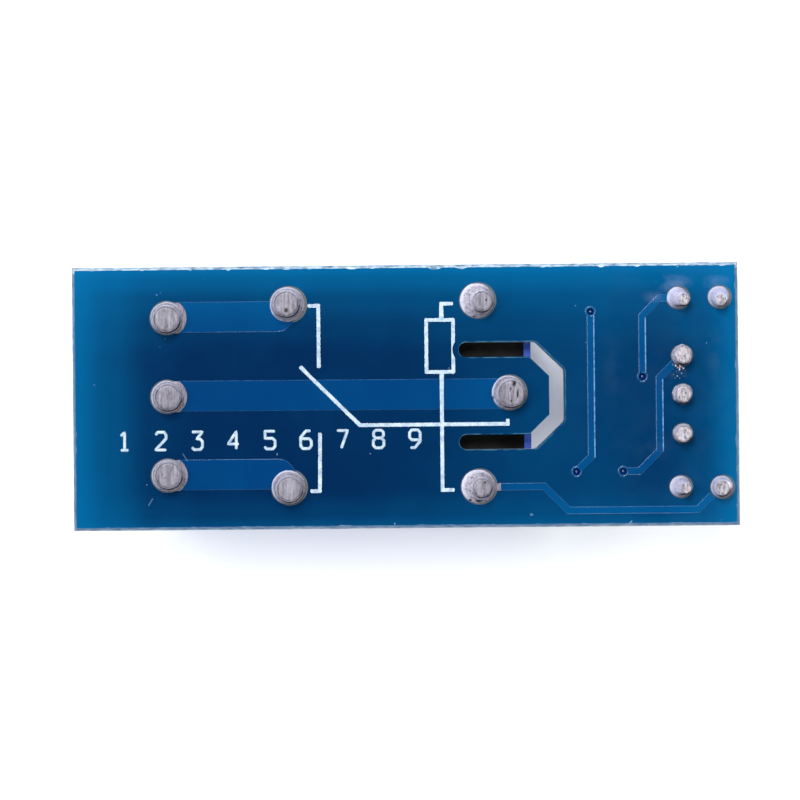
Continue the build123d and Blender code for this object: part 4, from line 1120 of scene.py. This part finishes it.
# %% The loop that the strip starts from
score_low = -0.34 * mm
score_width = 0.18 * mm
loop_step = 0.11 * mm
strip_shape = bmesh.new()
outline = [
    (board_low.x, board_low.y),
    (board_high.x, board_low.y),
    (board_high.x, board_high.y),
    (board_low.x, board_high.y),
]
loop = [strip_shape.verts.new((x, y, solder_face + score_low)) for x, y in outline]
border = [strip_shape.edges.new((loop[index - 1], loop[index])) for index in range(len(loop))]
for edge in border:
    bmesh.ops.subdivide_edges(strip_shape, edges=[edge], cuts=int(edge.calc_length() / loop_step))
print(len(strip_shape.verts), "points round the board")


def draw_in(vert, amount):
    """Move a point of the border towards the middle of the board."""
    if abs(abs(vert.co.x) - board_high.x) < 0.3 * mm:
        vert.co.x -= math.copysign(amount, vert.co.x)
    if abs(abs(vert.co.y) - board_high.y) < 0.3 * mm:
        vert.co.y -= math.copysign(amount, vert.co.y)


def side_of(vert):
    """Which side of the board a point of the strip belongs to."""
    if abs(abs(vert.co.y) - board_high.y) < 0.35 * mm:
        return "top" if vert.co.y > 0 else "bottom"
    return "right" if vert.co.x > 0 else "left"


# %% Grow the strip: up the scored slope, then over the mask
# For each side: how bare the strip is at its outer edge, on the slope and over the mask, from 0 to 1,
# and how deep its chips are (millimetres). On top of the real chipping, the top side, towards the key
# lamp, is made barest as painted light, and the bottom darker as painted shade.
bareness_and_light = {
    "top": (0.7, 1.0, 1.0, 0.13),
    "bottom": (0.55, 0.08, 0.30, 0.06),
    "left": (0.55, 0.0, 0.25, 0.06),
    "right": (0.5, 0.0, 0.22, 0.07),
}
bare = strip_shape.verts.layers.float.new("bare")
for vert in strip_shape.verts:
    vert[bare] = bareness_and_light[side_of(vert)][0]
chip_cell = 0.42 * mm
rows = [(0.003 * mm, score_width), (0.005 * mm, 0.02 * mm)]
ring = list(strip_shape.edges)
for row, (row_height, inwards) in enumerate(rows):
    ring, grown = grow_ring(strip_shape, ring)
    for vert in grown:
        side = bareness_and_light[side_of(vert)]
        place = vert.co / chip_cell
        bite = 1.8 * max(0.0, noise.noise(place) - 0.22) + 0.12 * noise.noise(place * 5)
        draw_in(vert, inwards + (side[3] * mm * bite if row else 0))
        vert.co.z = solder_face + row_height
        vert[bare] = side[1 + row]
bmesh.ops.recalc_face_normals(strip_shape, faces=strip_shape.faces)
if sum(face.normal.z for face in strip_shape.faces) < 0:
    bmesh.ops.reverse_faces(strip_shape, faces=strip_shape.faces)
print(len(strip_shape.faces), "faces in the strip")

# %% Glass cloth on the strip, and mask where it isn't bare
cloth = Finish("scored_cloth", Roughness=0.7)
threads = cloth.noise(2600, 4, 0.7, cloth.stretch(0.5, 0.5, 1))
flecks = cloth.below(cloth.cells(1500), 0.12)
weave = cloth.mix(cloth.span(threads, 0.35, 0.62), dim(linear(44, 104, 146)), dim(linear(212, 232, 244)))
weave = cloth.mix(cloth.times(flecks, 0.6), weave, dim(linear(40, 70, 90)))
# Where the attribute is high the strip shows pale cloth: real bare cloth, and painted light on the top
# side.
bareness_and_light_here = cloth.add("ShaderNodeAttribute", attribute_name="bare").outputs["Fac"]
cloth.set("Base Color", cloth.mix(bareness_and_light_here, dim(linear(0, 84, 134)), weave))
cloth.bump(threads, 0.6, 0.02)
make_piece("scored_edges", strip_shape, [cloth.material], smooth=False)

# %% Mask plugs in the vias
vias = [(11.95, 5.37), (10.97, -4.95), (15.27, 1.14), (13.98, -4.95)]
via_radius = 0.225 * mm
plug_depth = 0.35 * mm
plug_thickness = 0.2 * mm
plug_shape = bmesh.new()
for x, y in vias:
    bmesh.ops.create_cone(
        plug_shape,
        cap_ends=True,
        segments=24,
        radius1=via_radius,
        radius2=via_radius,
        depth=plug_thickness,
        matrix=Matrix.Translation((x * mm, y * mm, solder_face - plug_depth)),
    )
plug_mask = moulded_finish("plug_mask", dim(linear(4, 40, 108)), 0.2)
make_piece("via_plugs", plug_shape, [plug_mask])

# %% [markdown]
# ## Stage
#
# The floor is plain and nearly white. Its own faint mottling keeps it from being one flat colour.

# %% Floor
floor_shape = bmesh.new()
bmesh.ops.create_grid(floor_shape, x_segments=1, y_segments=1, size=1.5)
bmesh.ops.translate(floor_shape, verts=floor_shape.verts, vec=(0, 0, -0.02 * mm))
floor_mesh = bpy.data.meshes.new("floor")
floor_shape.to_mesh(floor_mesh)
floor_shape.free()
floor = bpy.data.objects.new("floor", floor_mesh)
scene.collection.objects.link(floor)
paper = Finish("paper", Roughness=0.9)
paper.set("Base Color", paper.mix(paper.noise(40), linear(243, 243, 243), linear(250, 250, 250)))
floor_mesh.materials.append(paper.material)
